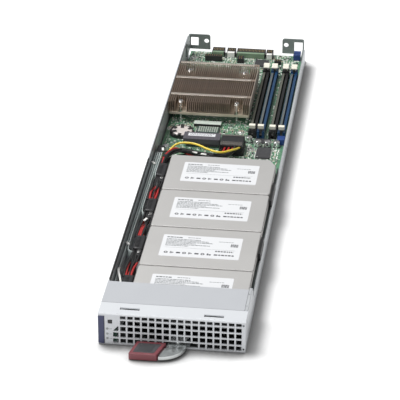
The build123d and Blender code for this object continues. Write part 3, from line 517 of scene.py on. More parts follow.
def finish(name):
    """The named finish, from the settings' colours, made once."""
    if name not in FINISHES:
        colours = bpy.context.scene.blade_colours
        makers = {
            "sled steel": lambda: rolled_steel("sled_steel", tuple(colours.sled), 0.42, metallic=0.55),
            "ear steel": lambda: rolled_steel("ear_steel", tuple(colours.ears), 0.42, (1, 1, 0.05), 0.6),
            "panel paint": lambda: powder_coat("panel_paint", tuple(colours.panel)),
            "cover sheet": lambda: powder_coat("cover_sheet", tuple(colours.cover), 0.42),
            "zinc screw": lambda: turned_metal("zinc_screw", (0.72, 0.73, 0.74), 0.3),
            "bright screw": lambda: turned_metal("bright_screw", (0.86, 0.85, 0.83), 0.22),
            # Painted shade: near-black that stands for the shade inside recesses, holes and seats; the power
            # button wears it too.
            "recess": lambda: moulded("recess_painted_shade", (0.03, 0.03, 0.03), 0.6),
            "blue strip": lambda: moulded("blue_strip", tuple(colours.strip), 0.4, 0.15),
            "light guide": lambda: moulded("light_guide", (0.30, 0.32, 0.31), 0.25, 0.05, 0.3),
            "black nylon": lambda: moulded("black_nylon", (0.018, 0.018, 0.02), 0.42),
            "black film and painted shade": lambda: moulded("black_film_and_painted_shade", (0.012, 0.013, 0.013), 0.35, 0.1),
            "rail steel": lambda: rolled_steel("rail_steel", (0.16, 0.19, 0.185), 0.45),
            "drive body": lambda: cast_alloy("drive_body", (0.40, 0.39, 0.38)),
            "drive lid": lambda: cast_alloy("drive_lid", tuple(colours.drives), 0.45),
            "label": lambda: paper("drive_label", (0.71, 0.72, 0.735)),
            "print": lambda: moulded("label_print", (0.13, 0.14, 0.15), 0.7, 0.05),
            "dark print": lambda: moulded("dark_print", (0.07, 0.07, 0.08), 0.7, 0.05),
            "board": lambda: circuit_board(
                "board_mask", tuple(colours.board), (0.125, 0.30, 0.168), (0.36, 0.40, 0.30)
            ),
            "solder": lambda: cast_alloy("solder", (0.84, 0.84, 0.82), 0.4),
            "gold": lambda: turned_metal("gold_contact", (0.83, 0.62, 0.28), 0.28),
            "dull contact": lambda: cast_alloy("dull_contact", (0.30, 0.31, 0.26), 0.5),
            "chip lid": lambda: cast_alloy("chip_lid", (0.74, 0.78, 0.73)),
            "silk": lambda: paper("board_marking", (0.80, 0.82, 0.78)),
            "resistor": lambda: moulded("resistor_top", (0.04, 0.04, 0.045), 0.4),
            "ceramic": lambda: moulded("ceramic_chip", (0.52, 0.45, 0.33), 0.4),
            "pale part": lambda: moulded("pale_part", (0.80, 0.82, 0.75), 0.45),
            "chip": lambda: moulded("chip_package", (0.045, 0.045, 0.048), 0.5, 0.5),
            "fin": lambda: stamped_fins("fin_metal", tuple(colours.fins)),
            "fin band": lambda: rolled_steel("fin_band", tuple(colours.fin_bands), 0.33, (0.05, 1, 1)),
            # Painted light: a lighter copy of the fins' metal for the stack's end and front faces.
            "sink side": lambda: cast_alloy("sink_side_painted_light", (0.66, 0.58, 0.48), 0.45),
            "port green": lambda: moulded("port_green", (0.20, 0.29, 0.19), 0.45),
            "sink base": lambda: rolled_steel("sink_base", (0.66, 0.60, 0.50), 0.42),
            "socket frame": lambda: rolled_steel("socket_frame", (0.50, 0.50, 0.50), 0.3),
            "spring": lambda: turned_metal("spring_wire", (0.80, 0.74, 0.66), 0.3),
            "memory black": lambda: moulded("memory_black", (0.009, 0.009, 0.01), 0.5),
            "memory blue": lambda: moulded("memory_blue", tuple(colours.memory_blue), 0.4),
            # The latches' stems are darkened below their heads: painted shade.
            "latch": lambda: latch_with_painted_shade("latch_stem_painted_shade", (0.86, 0.83, 0.72), (0.05, 0.05, 0.05), 15.0, 16.4),
            "coin": lambda: cast_alloy("coin_face", (0.90, 0.84, 0.81), 0.5),
            "header grey": lambda: moulded("header_grey", (0.13, 0.12, 0.11), 0.5),
            "pale bar": lambda: moulded("pale_bar", (0.56, 0.62, 0.56), 0.45),
            "cell": lambda: turned_metal("cell_can", (0.76, 0.74, 0.71), 0.3),
            "module": lambda: moulded("module_cover", (0.09, 0.085, 0.10), 0.4),
            "can": lambda: turned_metal("capacitor_can", (0.78, 0.78, 0.78), 0.25),
            "choke": lambda: moulded("choke_ferrite", (0.17, 0.17, 0.18), 0.55),
            "dark green": lambda: moulded("dark_green_block", (0.03, 0.085, 0.06), 0.4),
            "blue port": lambda: moulded("blue_port", (0.015, 0.05, 0.20), 0.38),
            "white nylon": lambda: moulded("white_nylon", (0.83, 0.83, 0.80), 0.4),
            "yellow wire": lambda: moulded("yellow_wire", (0.83, 0.62, 0.06), 0.35, 0.05, 0.2),
            "red wire": lambda: moulded("red_wire", (0.42, 0.025, 0.025), 0.4, 0.05, 0.15),
            "black wire": lambda: moulded("black_wire", (0.015, 0.015, 0.016), 0.35, 0.05, 0.2),
            "ribbon": lambda: moulded("ribbon_jacket", tuple(colours.ribbon), 0.35, 0.05, 0.15),
            "lever steel": lambda: rolled_steel("lever_steel", (0.68, 0.71, 0.70), 0.3, (0.3, 0.3, 1)),
            "grip": lambda: moulded("grip_red", tuple(colours.grip), 0.4, 0.3, 0.1),
            "inlay": lambda: moulded("grip_inlay", (0.05, 0.05, 0.055), 0.55, 0.6),
        }
        FINISHES[name] = makers[name]()
    return FINISHES[name]


def colour_property(name, description, value):
    """A colour for the sidebar."""
    return bpy.props.FloatVectorProperty(
        name=name, description=description, subtype="COLOR", size=3, min=0.0, max=1.0, default=value
    )


class BladeColours(bpy.types.PropertyGroup):
    """Colours that a user would change."""

    sled: colour_property("Sled", "Plated steel of the sled's floor and walls", (0.60, 0.62, 0.64))
    ears: colour_property("Ears", "Steel of the rear brackets", (0.30, 0.335, 0.33))
    panel: colour_property("Panel", "Paint of the front panel", (0.62, 0.64, 0.665))
    cover: colour_property("Cover", "Front cover plate", (0.47, 0.485, 0.51))
    strip: colour_property("Strip", "Identification strip at the panel's edge", (0.038, 0.045, 0.105))
    drives: colour_property("Drives", "Lids of the drives", (0.71, 0.70, 0.685))
    board: colour_property("Board", "Solder mask of the motherboard", (0.082, 0.20, 0.118))
    fins: colour_property("Fins", "Fins of the heatsink", (0.56, 0.45, 0.365))
    fin_bands: colour_property("Fin bands", "Folded tabs that tie the fins", (0.92, 0.84, 0.74))
    memory_blue: colour_property("Memory blue", "Every second memory socket", (0.007, 0.044, 0.115))
    ribbon: colour_property("Ribbon", "Flat data cables", (0.60, 0.66, 0.65))
    grip: colour_property("Grip", "Moulded frame of the lever's grip", (0.195, 0.05, 0.06))


class BladeSizes(bpy.types.PropertyGroup):
    """Sizes of the dressing that a user would change, in metres."""

    wire_radius: bpy.props.FloatProperty(
        name="Wire radius", description="Radius of one wire of the power harness", default=0.00105,
        min=0.0004, max=0.002, subtype="DISTANCE", unit="LENGTH")
    label_length: bpy.props.FloatProperty(
        name="Label length", description="Drive label across the sled", default=0.0705,
        min=0.02, max=0.09, subtype="DISTANCE", unit="LENGTH")
    label_width: bpy.props.FloatProperty(
        name="Label width", description="Drive label along the sled", default=0.0385,
        min=0.01, max=0.06, subtype="DISTANCE", unit="LENGTH")
    part_pitch: bpy.props.FloatProperty(
        name="Part pitch", description="Grid on which the board's smallest parts are set", default=0.0027,
        min=0.0015, max=0.006, subtype="DISTANCE", unit="LENGTH")
    part_share: bpy.props.FloatProperty(
        name="Part share", description="Share of the grid's places that hold a small part", default=0.66,
        min=0.0, max=1.0, subtype="FACTOR")
    part_seed: bpy.props.IntProperty(
        name="Part seed", description="Start of the random draws for the small parts", default=11, min=0)


class BladeStage(bpy.types.PropertyGroup):
    """The camera's place and the lamps' levels."""

    camera_place: bpy.props.FloatVectorProperty(
        name="Camera place", description="Where the camera stands, in the sled's frame", size=3,
        default=(0.2296, -1.9166, 1.0147), subtype="TRANSLATION", unit="LENGTH")
    azimuth: bpy.props.FloatProperty(
        name="Azimuth", description="How far the view is turned from straight ahead",
        default=math.radians(7.22), subtype="ANGLE", unit="ROTATION")
    elevation: bpy.props.FloatProperty(
        name="Elevation", description="How far the view looks down", default=math.radians(28.07),
        subtype="ANGLE", unit="ROTATION")
    lens: bpy.props.FloatProperty(
        name="Lens", description="Focal length on a 36 mm sensor", default=207.3, min=20.0, max=400.0)
    key_power: bpy.props.FloatProperty(
        name="Key lamp", description="Power of the large lamp at the upper left", default=54.0, min=0.0,
        unit="POWER")
    fill_power: bpy.props.FloatProperty(
        name="Fill lamp", description="Power of the lamp in front", default=13.0, min=0.0, unit="POWER")
    sky: bpy.props.FloatProperty(
        name="Surround", description="Level of the even surrounding light", default=0.32, min=0.0)


# Stage
class BLADE_OT_stage(bpy.types.Operator):
    """Set the floor, the lamps, the surround and the camera"""

    bl_idname = "blade.stage"
    bl_label = "Stage"

    # Metres.
    floor_reach = 6.0
    floor_gap = 0.0002
    key_place, key_size = (-0.95, 0.2, 2.0), 1.1
    fill_place, fill_size = (-0.2, -2.2, 1.1), 1.4
    shadow_ends, white_starts = 0.5, 1.2

    floor_colour = (0.93, 0.93, 0.93)
    shadow_colour = (0.10, 0.10, 0.10)
    glow_strength = 1.7
    glow_share = 0.12

    def execute(self, context):
        settings = context.scene.blade_stage
        self.floor()
        self.surround(context, settings)
        self.lamp(context, "key_lamp", self.key_place, settings.key_power, self.key_size)
        self.lamp(context, "fill_lamp", self.fill_place, settings.fill_power, self.fill_size)
        self.camera(context, settings)
        context.scene.view_settings.view_transform = "Standard"
        return {"FINISHED"}

    def floor(self):
        """A flat floor just under the sled."""
        mesh = bmesh.new()
        bmesh.ops.create_grid(mesh, x_segments=1, y_segments=1, size=self.floor_reach)
        data = bpy.data.meshes.new("floor")
        mesh.to_mesh(data)
        mesh.free()
        ground = bpy.data.objects.new("floor", data)
        ground.location.z = CAD_BOX[0][2] - self.floor_gap
        bpy.context.scene.collection.objects.link(ground)
        data.materials.append(self.floor_finish())

    def floor_finish(self):
        """Pale floor, white away from the object, with a soft contact shadow on its right and in front."""
        work = NodeWork("pale_floor", self.floor_colour, 0.9)
        beside = self.openness(work, 0.0165, (-0.62, 0.55, 0.56), 0.12, 0.92)
        in_front = self.openness(work, 0.034, (-0.05, 0.86, 0.50), 0.15, 0.88)
        open_share = work.maths("MULTIPLY", beside, in_front)
        shaded = work.mix(open_share, self.shadow_colour, self.floor_colour)
        work.link(shaded, work.shader.inputs["Base Color"])
        glow = work.node("ShaderNodeEmission")
        glow.inputs["Strength"].default_value = self.glow_strength
        rays = work.node("ShaderNodeLightPath")
        seen = work.maths("MAXIMUM", rays.outputs["Is Camera Ray"], rays.outputs["Is Glossy Ray"])
        seen = work.maths("MAXIMUM", seen, rays.outputs["Is Transmission Ray"])
        distance = work.node("ShaderNodeVectorMath", operation="LENGTH")
        work.link(work.place, distance.inputs[0])
        far = work.remap(distance.outputs["Value"], 0.0, 1.0, self.shadow_ends, self.white_starts)
        level = work.maths("MAXIMUM", work.maths("MULTIPLY", open_share, self.glow_share), far)
        share = work.node("ShaderNodeMixShader")
        work.link(work.maths("MULTIPLY", seen, level), share.inputs["Fac"])
        work.link(work.shader.outputs["BSDF"], share.inputs[1])
        work.link(glow.outputs["Emission"], share.inputs[2])
        work.link(share.outputs["Shader"], work.tree.nodes["Material Output"].inputs["Surface"])
        return work.material

    def openness(self, work, reach, lean, closed, free):
        """From 0 to 1, how much of the space within reach is free, on the side that lean points to."""
        occlusion = work.node("ShaderNodeAmbientOcclusion", samples=12)
        occlusion.inputs["Distance"].default_value = reach
        normal = work.node("ShaderNodeCombineXYZ")
        for axis, value in zip("XYZ", lean):
            normal.inputs[axis].default_value = value
        work.link(normal.outputs["Vector"], occlusion.inputs["Normal"])
        return work.remap(occlusion.outputs["AO"], 0.0, 1.0, closed, free)

    def surround(self, context, settings):
        """An even surround that the camera sees as white."""
        world = bpy.data.worlds.new("studio")
        world.use_nodes = True
        tree = world.node_tree
        plain = tree.nodes["Background"]
        plain.inputs["Color"].default_value = (1.0, 1.0, 1.0, 1.0)
        plain.inputs["Strength"].default_value = settings.sky
        white = tree.nodes.new("ShaderNodeBackground")
        white.inputs["Strength"].default_value = 1.0
        rays = tree.nodes.new("ShaderNodeLightPath")
        share = tree.nodes.new("ShaderNodeMixShader")
        tree.links.new(rays.outputs["Is Camera Ray"], share.inputs["Fac"])
        tree.links.new(plain.outputs["Background"], share.inputs[1])
        tree.links.new(white.outputs["Background"], share.inputs[2])
        tree.links.new(share.outputs["Shader"], tree.nodes["World Output"].inputs["Surface"])
        context.scene.world = world

    def lamp(self, context, name, where, power, size):
        """A square area lamp that points at the frame's origin."""
        data = bpy.data.lights.new(name, "AREA")
        data.energy = power
        data.size = size
        made = bpy.data.objects.new(name, data)
        made.location = where
        made.rotation_euler = (-Vector(where)).to_track_quat("-Z", "Y").to_euler()
        context.scene.collection.objects.link(made)

    def camera(self, context, settings):
        """The camera that took the photograph's view."""
        data = bpy.data.cameras.new("camera")
        data.sensor_width = 36.0
        data.lens = settings.lens
        data.clip_start = 0.05
        made = bpy.data.objects.new("camera", data)
        made.location = settings.camera_place
        made.rotation_euler = (math.pi / 2 - settings.elevation, 0.0, settings.azimuth)
        context.scene.collection.objects.link(made)
        context.scene.camera = made


# Sheet metal
class BLADE_OT_sheet_metal(bpy.types.Operator):
    """Finish the sled, its ears, deck, rail, bezel and cover"""

    bl_idname = "blade.sheet_metal"
    bl_label = "Sheet metal"

    # Black tape along the left wall; along the wall's top its black is partly painted shade.
    wall = 1.0
    tape = 0.35
    tape_front, tape_rear = 60.0, 548.0
    tape_low, tape_high = 26.6, 28.4
    rivet_first, rivet_pitch, rivet_height, rivet_radius = 72, 28, 27.5, 0.6
    edge_front, edge_rear = 58.0, 288.0
    edge_low, edge_high = 28.45, 28.72
    # Painted shade, drawn as black sheet on the floor: two strips beside the lever's hub, then one sheet under
    # the drives.
    shade_low = 1.0
    film_left, film_right = -46.0, 57.0
    hub_left, hub_right = -4.0, 15.0
    strip_front, strip_rear, strip_high = 3.0, 19.0, 1.1
    sheet_front, sheet_rear, sheet_high = 13.0, 110.0, 1.12
    # Pressed stud and dimples of the panel.
    stud_inset, stud_height = 9.5, 3.0
    dimple_inset, dimple_heights = 1.7, (26.2, 3.4)
    press_depth, press_sides = 0.3, 20

    def execute(self, context):
        paint("tray", finish("sled steel"), 0.12)
        paint("drive_deck", finish("sled steel"))
        paint("side_rail", finish("rail steel"), 0.1)
        for node in ("left_ear", "right_ear"):
            paint(node, finish("ear steel"), 0.15)
        paint("front_bezel", finish("panel paint"), 0.1)
        paint("front_cover", finish("cover sheet"), 0.12)
        paint("side_clips", finish("memory black"), 0.25)
        self.wall_tape_and_shade()
        self.front_painted_shade()
        self.panel_hardware()
        return {"FINISHED"}

    def wall_tape_and_shade(self):
        """Black insulating tape on the left wall's inside, riveted, and over its edge beside the drives; along
        the wall's top its black is partly painted shade.
        """
        outer = extent("tray")[0].x
        inner = outer + self.wall
        tape = Sketch()
        tape.box((inner, self.tape_front, self.tape_low), (inner + self.tape, self.tape_rear, self.tape_high))
        for y in range(self.rivet_first, int(self.tape_rear), self.rivet_pitch):
            tape.post((inner + 0.2, y, self.rivet_height), self.rivet_radius, 0.35, 16, axis="X")
        tape.piece("wall_film_and_shade", finish("black film and painted shade"), "clip_black", bevel=0.12)
        # The black over the wall's edge stands in for the shade along the wall's top: painted shade, drawn as
        # tape.
        edge = Sketch()
        edge.box((outer + INK, self.edge_front, self.edge_low), (inner + 0.3, self.edge_rear, self.edge_high))
        edge.piece("wall_edge_tape_and_shade", finish("black film and painted shade"), "clip_black", bevel=0.1)

    def front_painted_shade(self):
        """Painted shade behind the grille: black sheet on the front drive's face and on the floor, clear of the
        lever's hub.
        """
        low, high = extent("drive_4_case")
        # Black sheets that stand in for the shade behind the grille: painted shade.
        film = Sketch()
        film.box((low.x + 1.5, low.y - 0.12, low.z + 0.6), (high.x - 1.5, low.y + INK, high.z - 0.6))
        for left, right in ((self.film_left, self.hub_left), (self.hub_right, self.film_right)):
            film.box((left, self.strip_front, self.shade_low), (right, self.strip_rear, self.strip_high))
        sheet_low = (self.film_left, self.sheet_front, self.shade_low)
        film.box(sheet_low, (self.film_right, self.sheet_rear, self.sheet_high))
        film.piece("front_painted_shade", finish("black film and painted shade"), "clip_black")

    def panel_hardware(self):
        """A pressed stud at the lower left and dimples down the right edge, dark with painted shade."""
        low, high = extent("front_bezel")
        studs = Sketch()
        centre = (low.x + self.stud_inset, SKIN, self.stud_height)
        studs.post(centre, 0.9, self.press_depth, self.press_sides, axis="Y")
        studs.piece("panel_studs", finish("zinc screw"), "screw_steel")
        dimples = Sketch()
        for z in self.dimple_heights:
            centre = (high.x - self.dimple_inset, 0.0, z)
            dimples.post(centre, 0.85, self.press_depth, self.press_sides, axis="Y")
        dimples.piece("panel_dimples", finish("recess"), "clip_black")


# Front controls
class BLADE_OT_front_controls(bpy.types.Operator):
    """Finish the strip, the button, the light guides and the control board"""

    bl_idname = "blade.front_controls"
    bl_label = "Front controls"

    def execute(self, context):
        paint("id_strip", finish("blue strip"))
        paint("led_lenses", finish("light guide"))
        # The button shares the recesses' near-black: partly its own black, partly painted shade in its opening.
        paint("power_button", finish("recess"))
        # The control board's green is made darker, as painted shade behind the grille.
        paint("front_board", finish("dark green"))
        self.strip_edge()
        self.control_marks()
        return {"FINISHED"}

    def strip_edge(self):
        """A dark line where the strip ends and the panel starts."""
        low, high = extent("id_strip")
        edge = Sketch()
        edge.box((high.x, low.y + 0.25, low.z), (high.x + 0.45, 0.0, high.z))
        edge.piece("strip_edge", finish("dark print"), "button_black")

    def control_marks(self):
        """An upright and a flat dash beside each light guide."""
        marks = Sketch()
        for low, high in islands("led_lenses"):
            middle = (low.z + high.z) / 2
            for start, end, half_height in ((1.2, 1.5, 0.5), (2.0, 2.9, 0.2)):
                mark_low = (high.x + start, -0.03, middle - half_height)
                marks.box(mark_low, (high.x + end, SKIN, middle + half_height))
        marks.piece("control_marks", finish("print"), "button_black")


# Ejector lever
class BLADE_OT_lever(bpy.types.Operator):
    """Finish the ejector lever and its grip"""

    bl_idname = "blade.lever"
    bl_label = "Ejector lever"

    # The pad's place in the grip, from the grip's left, front and rear.
    pad_left, pad_right = 3.0, 19.6
    pad_front, pad_rear = 2.6, 4.2
    # How far the grip's sides lean to the right for each millimetre back.
    lean = 0.225
    rib_count = 7
    rib_half_width = 0.32

    def execute(self, context):
        paint("lever_arm", finish("lever steel"))
        paint("lever_grip", finish("grip"))
        paint("lever_inlay", finish("inlay"))
        paint("lever_pivot", finish("zinc screw"))
        self.pad()
        return {"FINISHED"}

    def pad(self):
        """A soft pad over the grip's inlay, with cross ribs."""
        low, high = extent("lever_grip")
        inlay = extent("lever_inlay")[1].z
        front, rear = low.y + self.pad_front, high.y - self.pad_rear
        left, right = low.x + self.pad_left, low.x + self.pad_right
        depth = rear - front
        spread = depth * self.lean
        outline = (
            (left + spread * 0.07, front), (right + spread * 0.24, front),
            (right + spread * 1.9, rear), (left + spread, rear),
        )
        pad = Sketch()
        pad.prism(outline, inlay - SKIN, high.z + 0.08)
        pad.piece("grip_pad", finish("inlay"), "inlay_grey", LEVER, bevel=0.4, segments=3)
        ribs = Sketch()
        half = self.rib_half_width
        for step in range(self.rib_count):
            y = front + 2.4 + step * (depth - 4.8) / (self.rib_count - 1)
            shift = (y - front) * self.lean
            ribs.box((left + 2.6 + shift, y - half, high.z), (right - 1.6 + shift, y + half, high.z + half))
        ribs.piece("pad_ribs", finish("inlay"), "inlay_grey", LEVER, bevel=0.12)


# Drives
class BLADE_OT_drives(bpy.types.Operator):
    """Finish the drives, their labels, marks and screws"""

    bl_idname = "blade.drives"
    bl_label = "Drives"

    # The label's place on a drive's lid, from its left and front.
    label_left, label_front = 14.3, 16.6
    label_thickness = 0.12
    label_corner = 1.2
    text_left = 3.5
    # Where each printed row of the label ends, from its left.
    row_ends = (34, 41, 45, 30, 43, 24)
    row_pitch = 2.3
    icon_count, icon_pitch = 8, 5.4

    def execute(self, context):
        sizes = context.scene.blade_sizes
        for number in range(1, 5):
            paint(f"drive_{number}_case", finish("drive body"), 0.3)
            paint(f"drive_{number}_lid", finish("drive lid"), 0.15)
            self.label(number, sizes.label_length / MM, sizes.label_width / MM)
        paint("drive_screws", finish("zinc screw"))
        return {"FINISHED"}

    def label(self, number, length, width):
        """A paper label with round corners."""
        low = extent(f"drive_{number}_lid")[0]
        left = low.x + self.label_left
        front = low.y + self.label_front
        near_x, near_y = left + self.label_corner, front + self.label_corner
        far_x, far_y = left + length - self.label_corner, front + width - self.label_corner
        outline = []
        corners = ((far_x, near_y, -90), (far_x, far_y, 0), (near_x, far_y, 90), (near_x, near_y, 180))
        for x, y, start in corners:
            angles = [math.radians(start + step * 22.5) for step in range(5)]
            outline += [on_circle(x, y, self.label_corner, angle) for angle in angles]
        top = LID_TOP + self.label_thickness
        sheet = Sketch()
        sheet.prism(outline, LID_TOP, top)
        sheet.piece(f"drive_{number}_label", finish("label"), "drive_lid")
        self.print_marks(number, left, front, length, width, top)

    def print_marks(self, number, left, front, length, width, top):
        """Plain bars, blocks and icons in the places of the real label's lines. None is a letter."""
        draw = random.Random(40)
        pale = Sketch()
        dark = Sketch()
        rear = front + width
        start = left + self.text_left

        def mark(sketch, x0, y0, x1, y1):
            sketch.box((x0, y0, top - INK), (x1, y1, top + INK))

        def row(sketch, x, end, y, height, least, most, gap):
            while x < end:
                run = draw.uniform(least, most)
                mark(sketch, x, y, min(x + run, end), y + height)
                x += run + gap

        row(pale, start, left + 17, rear - 5.2, 1.7, 1.4, 3.0, 0.6)
        row(pale, left + 22, left + 33, rear - 4.4, 0.9, 1.2, 2.6, 0.5)
        for line, end in enumerate(self.row_ends):
            row(pale, start, left + end, rear - 8.3 - line * self.row_pitch, 1.05, 0.9, 3.4, 0.45)
        row(pale, left + 50, left + 63, rear - 8.6, 0.7, 1.0, 2.4, 0.5)
        row(pale, start, left + 66, rear - 22.8, 0.22, 4.0, 6.0, 0.2)
        stamp = left + length - 9.5
        for line in range(4):
            row(dark, stamp, stamp + 6.6, rear - 12.4 - line * 1.3, 1.0, 0.8, 1.9, 0.3)
        row(dark, left + length - 22, left + length - 6, front + 12.0, 2.0, 1.0, 2.6, 0.7)
        for step in range(self.icon_count):
            x = left + 4 + step * self.icon_pitch
            if step in (1, 4):
                for part in range(3):
                    inset = part * 0.5
                    mark(dark, x + part * 1.1, front + 5.0 + inset, x + part * 1.1 + 0.8, front + 8.6 - inset)
            elif step % 3 == 0:
                dark.ring((x + 1.7, front + 6.8), 0.8, 1.8, top - INK, top + INK, 16)
            elif step % 3 == 1:
                mark(dark, x, front + 5.2, x + 1.4, front + 8.4)
                mark(dark, x + 1.7, front + 5.2, x + 3.6, front + 7.4)
            else:
                mark(dark, x, front + 5.6, x + 3.6, front + 8.0)
        row(dark, left + 48, left + length - 5, front + 5.6, 2.1, 1.2, 3.2, 0.8)
        pale.piece(f"drive_{number}_print", finish("print"), "drive_lid")
        dark.piece(f"drive_{number}_icons", finish("dark print"), "drive_lid")


# Cables
class BLADE_OT_cables(bpy.types.Operator):
    """Make the power wires, the flat data cables, the plugs' details and the tags"""

    bl_idname = "blade.cables"
    bl_label = "Cables"

    # Control points of the wires' splines, from the header's plug to the left wall.
    trunk = (
        (14.0, 347.8, 14.4), (12.0, 331.0, 15.2), (-4.0, 321.0, 17.0), (-24.0, 326.0, 19.0),
        (-42.0, 322.0, 21.2), (-50.0, 304.0, 21.2), (-50.4, 292.0, 20.0),
    )
    yellow = (
        (18.0, 347.8, 14.4), (15.5, 336.0, 18.6), (12.8, 331.6, 20.0), (3.5, 320.5, 21.6),
        (-8.6, 325.0, 22.0), (-21.6, 336.0, 22.0), (-32.3, 338.0, 22.0), (-41.0, 337.5, 20.8),
        (-47.0, 332.0, 17.0), (-51.0, 318.0, 13.0), (-54.5, 302.0, 11.0), (-54.5, 280.0, 10.0),
    )
    under = (
        (11.0, 347.8, 11.6), (6.0, 333.0, 11.2), (-6.0, 325.0, 12.4), (-24.0, 328.0, 13.8),
        (-40.0, 322.0, 15.0), (-49.5, 306.0, 15.4), (-50.4, 292.0, 15.4),
    )
    red = (
        (8.0, 347.8, 13.8), (6.5, 336.0, 12.6), (-4.0, 327.0, 10.6), (-20.0, 326.0, 11.4),
        (-33.0, 324.0, 18.6), (-41.0, 325.5, 23.0), (-48.1, 311.0, 22.8), (-49.5, 300.0, 21.6),
        (-50.0, 292.0, 19.6),
    )
    leads = (
        ((4.0, 347.8, 13.4), (3.6, 340.0, 13.6), (0.5, 331.0, 13.0), (-3.0, 324.0, 13.6)),
        ((11.5, 347.8, 13.4), (11.0, 341.0, 14.4), (9.5, 333.5, 12.8), (3.0, 325.0, 13.0)),
        ((1.0, 347.8, 12.6), (0.5, 342.0, 12.0), (-2.5, 333.0, 11.5), (-9.0, 326.0, 13.5)),
    )
    white = (
        (-58.6, 108.0, 10.0), (-59.4, 98.0, 18.0), (-59.0, 90.0, 20.6), (-57.2, 82.0, 20.8),
        (-54.6, 75.0, 19.4), (-53.0, 66.0, 16.5),
    )

    # Wires between two plugs: their places across the sled, and their heights from the rear plug to the front.
    lanes = (
        ("black wire", (-51.6, -50.2, -48.4, -46.8, -45.2), (19.6, 20.4, 18.0, 15.8, 16.6)),
        ("red wire", (-50.8, -48.6, -46.4), (16.4, 15.8, 19.2, 21.6, 20.2)),
        ("black wire", (-52.4, -47.6), (16.8, 18.2, 20.8, 22.2, 20.4)),
    )
    # The flat cables' height at the plugs, their leftmost lane and the lanes' pitch.
    ribbon_height = 14.6
    first_lane, lane_pitch = -59.2, 1.9
    # One side of a flat cable's cross-section, in shares of its half thickness and half width.
    ribbon_side = ((0.5, 1.0), (1.0, 0.78), (1.0, 0.35), (0.55, 0.0), (1.0, -0.35), (1.0, -0.78), (0.5, -1.0))
    ribbon_half_width, ribbon_half_thickness = 3.9, 0.55
    # The plugs' caps.
    cap_low, cap_right = 14.4, -43.0
    rib_pitch = 2.4
    # Middle, height and turn of each white tag.
    tag_places = (
        (-53.0, 325.0, 19.5, 12), (-58.0, 296.0, 19.4, 40), (-48.6, 181.5, 20.6, -20),
        (-58.2, 139.0, 19.0, 30), (-22.0, 322.5, 19.4, 60), (-13.0, 319.0, 19.6, 80),
    )

    def execute(self, context):
        for node in ("drive_plugs", "power_plug", "power_header"):
            paint(node, finish("black nylon"), 0.2)
        self.power_wires(context.scene.blade_sizes.wire_radius / MM)
        self.ribbons()
        self.plug_details()
        self.tags()
        return {"FINISHED"}

    def plugs(self, power):
        """The solids of the drives' power plugs or data plugs, from the front."""
        return [pair for pair in islands("drive_plugs") if (pair[1].y - pair[0].y > POWER_PLUG_WIDTH) == power]

    def power_wires(self, radius):
        """The bundle behind the drives, then short wires from one drive's plug to the next."""
        draw = random.Random(41)
        path = smooth_path(self.trunk)
        below = smooth_path(self.under)
        black = [self.twisted(path, turn, radius * 1.3) for turn in (90, 210, 330)]
        black += [self.twisted(below, turn, radius * 1.3) for turn in (30, 150, 270)]
        wires = {"black wire": [*black, self.leads[2]], "red wire": [self.red, *self.leads[:2]]}
        plugs = self.plugs(power=True)
        for front, rear in zip(plugs, plugs[1:]):
            start, end = rear[0].y - 6.0, front[1].y - 3.0
            for colour, places, heights in self.lanes:
                wires[colour] += [self.loose(draw, x, start, end, heights) for x in places]
        made = curve_piece("black_wires", wires["black wire"], radius, finish("black wire"))
        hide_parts("power_harness")
        curve_piece("red_wires", wires["red wire"], radius, finish("red wire"))
        curve_piece("yellow_wire", [self.yellow], radius, finish("yellow wire"))
        curve_piece("white_wire", [self.white], radius, finish("white nylon"))
        ties = Sketch()
        for start in (14, 27, 40):
            ties.tube(path[start:start + 3], 2.5, 16)
        ties.piece("harness_ties", finish("black nylon"), "harness_black")

    def loose(self, draw, x, start, end, heights):
        """A short wire between two plugs that wanders from its lane, except at its ends."""
        ys = (start + 2, start - 8, (start + end) / 2, end + 8, end - 2)
        route = []
        for y, z in zip(ys, heights):
            free = 0.0 if y in (ys[0], ys[-1]) else 1.0
            aside, along, up = draw.uniform(-1.7, 1.7), draw.uniform(-2.5, 2.5), draw.uniform(-1.4, 0.8)
            route.append((x + free * aside, y + free * along, z + free * up))
        return route

    def twisted(self, path, start, offset):
        """A wire that turns slowly round the path, through every third point of it and its last."""
        route = []
        for index, point in enumerate(path):
            if index % 3 and index != len(path) - 1:
                continue
            side, up = directions(path, index)
            across, above = on_circle(0.0, 0.0, offset, math.radians(start + index * 7.0))
            route.append(tuple(point + side * across + up * above))
        return route

    def ribbons(self):
        """Flat data cables from the drives' data plugs to the ports on the board."""
        ports = [pair for pair in islands("small_connectors") if pair[0].y < DATA_PORTS_REAR]
        port_front = ports[0][0].y
        low_side = [(-thick, -wide) for thick, wide in self.ribbon_side]
        profile = [
            (thick * self.ribbon_half_thickness, wide * self.ribbon_half_width)
            for thick, wide in (*low_side, *self.ribbon_side)
        ]
        level = self.ribbon_height
        sketch = Sketch()
        for number, (low, high) in enumerate(self.plugs(power=False)):
            lane = self.first_lane + number * self.lane_pitch
            middle = (low.y + high.y) / 2
            route = [
                (low.x, middle, level), (low.x - 1.6, middle + 0.3, level),
                (lane + 1.2, middle + 3.0, level + 0.2), (lane + 0.1, middle + 9.0, level + 0.6),
                (lane, middle + 22.0, level + 0.6),
                (lane, (middle + port_front) / 2, level), (lane, port_front - 16.0, level + 0.2),
                (lane, port_front, level),
            ]
            sketch.sweep(smooth_path(route, 6), profile)
        made = sketch.piece("data_ribbons", finish("ribbon"), "cable_grey")
        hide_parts("data_cables")

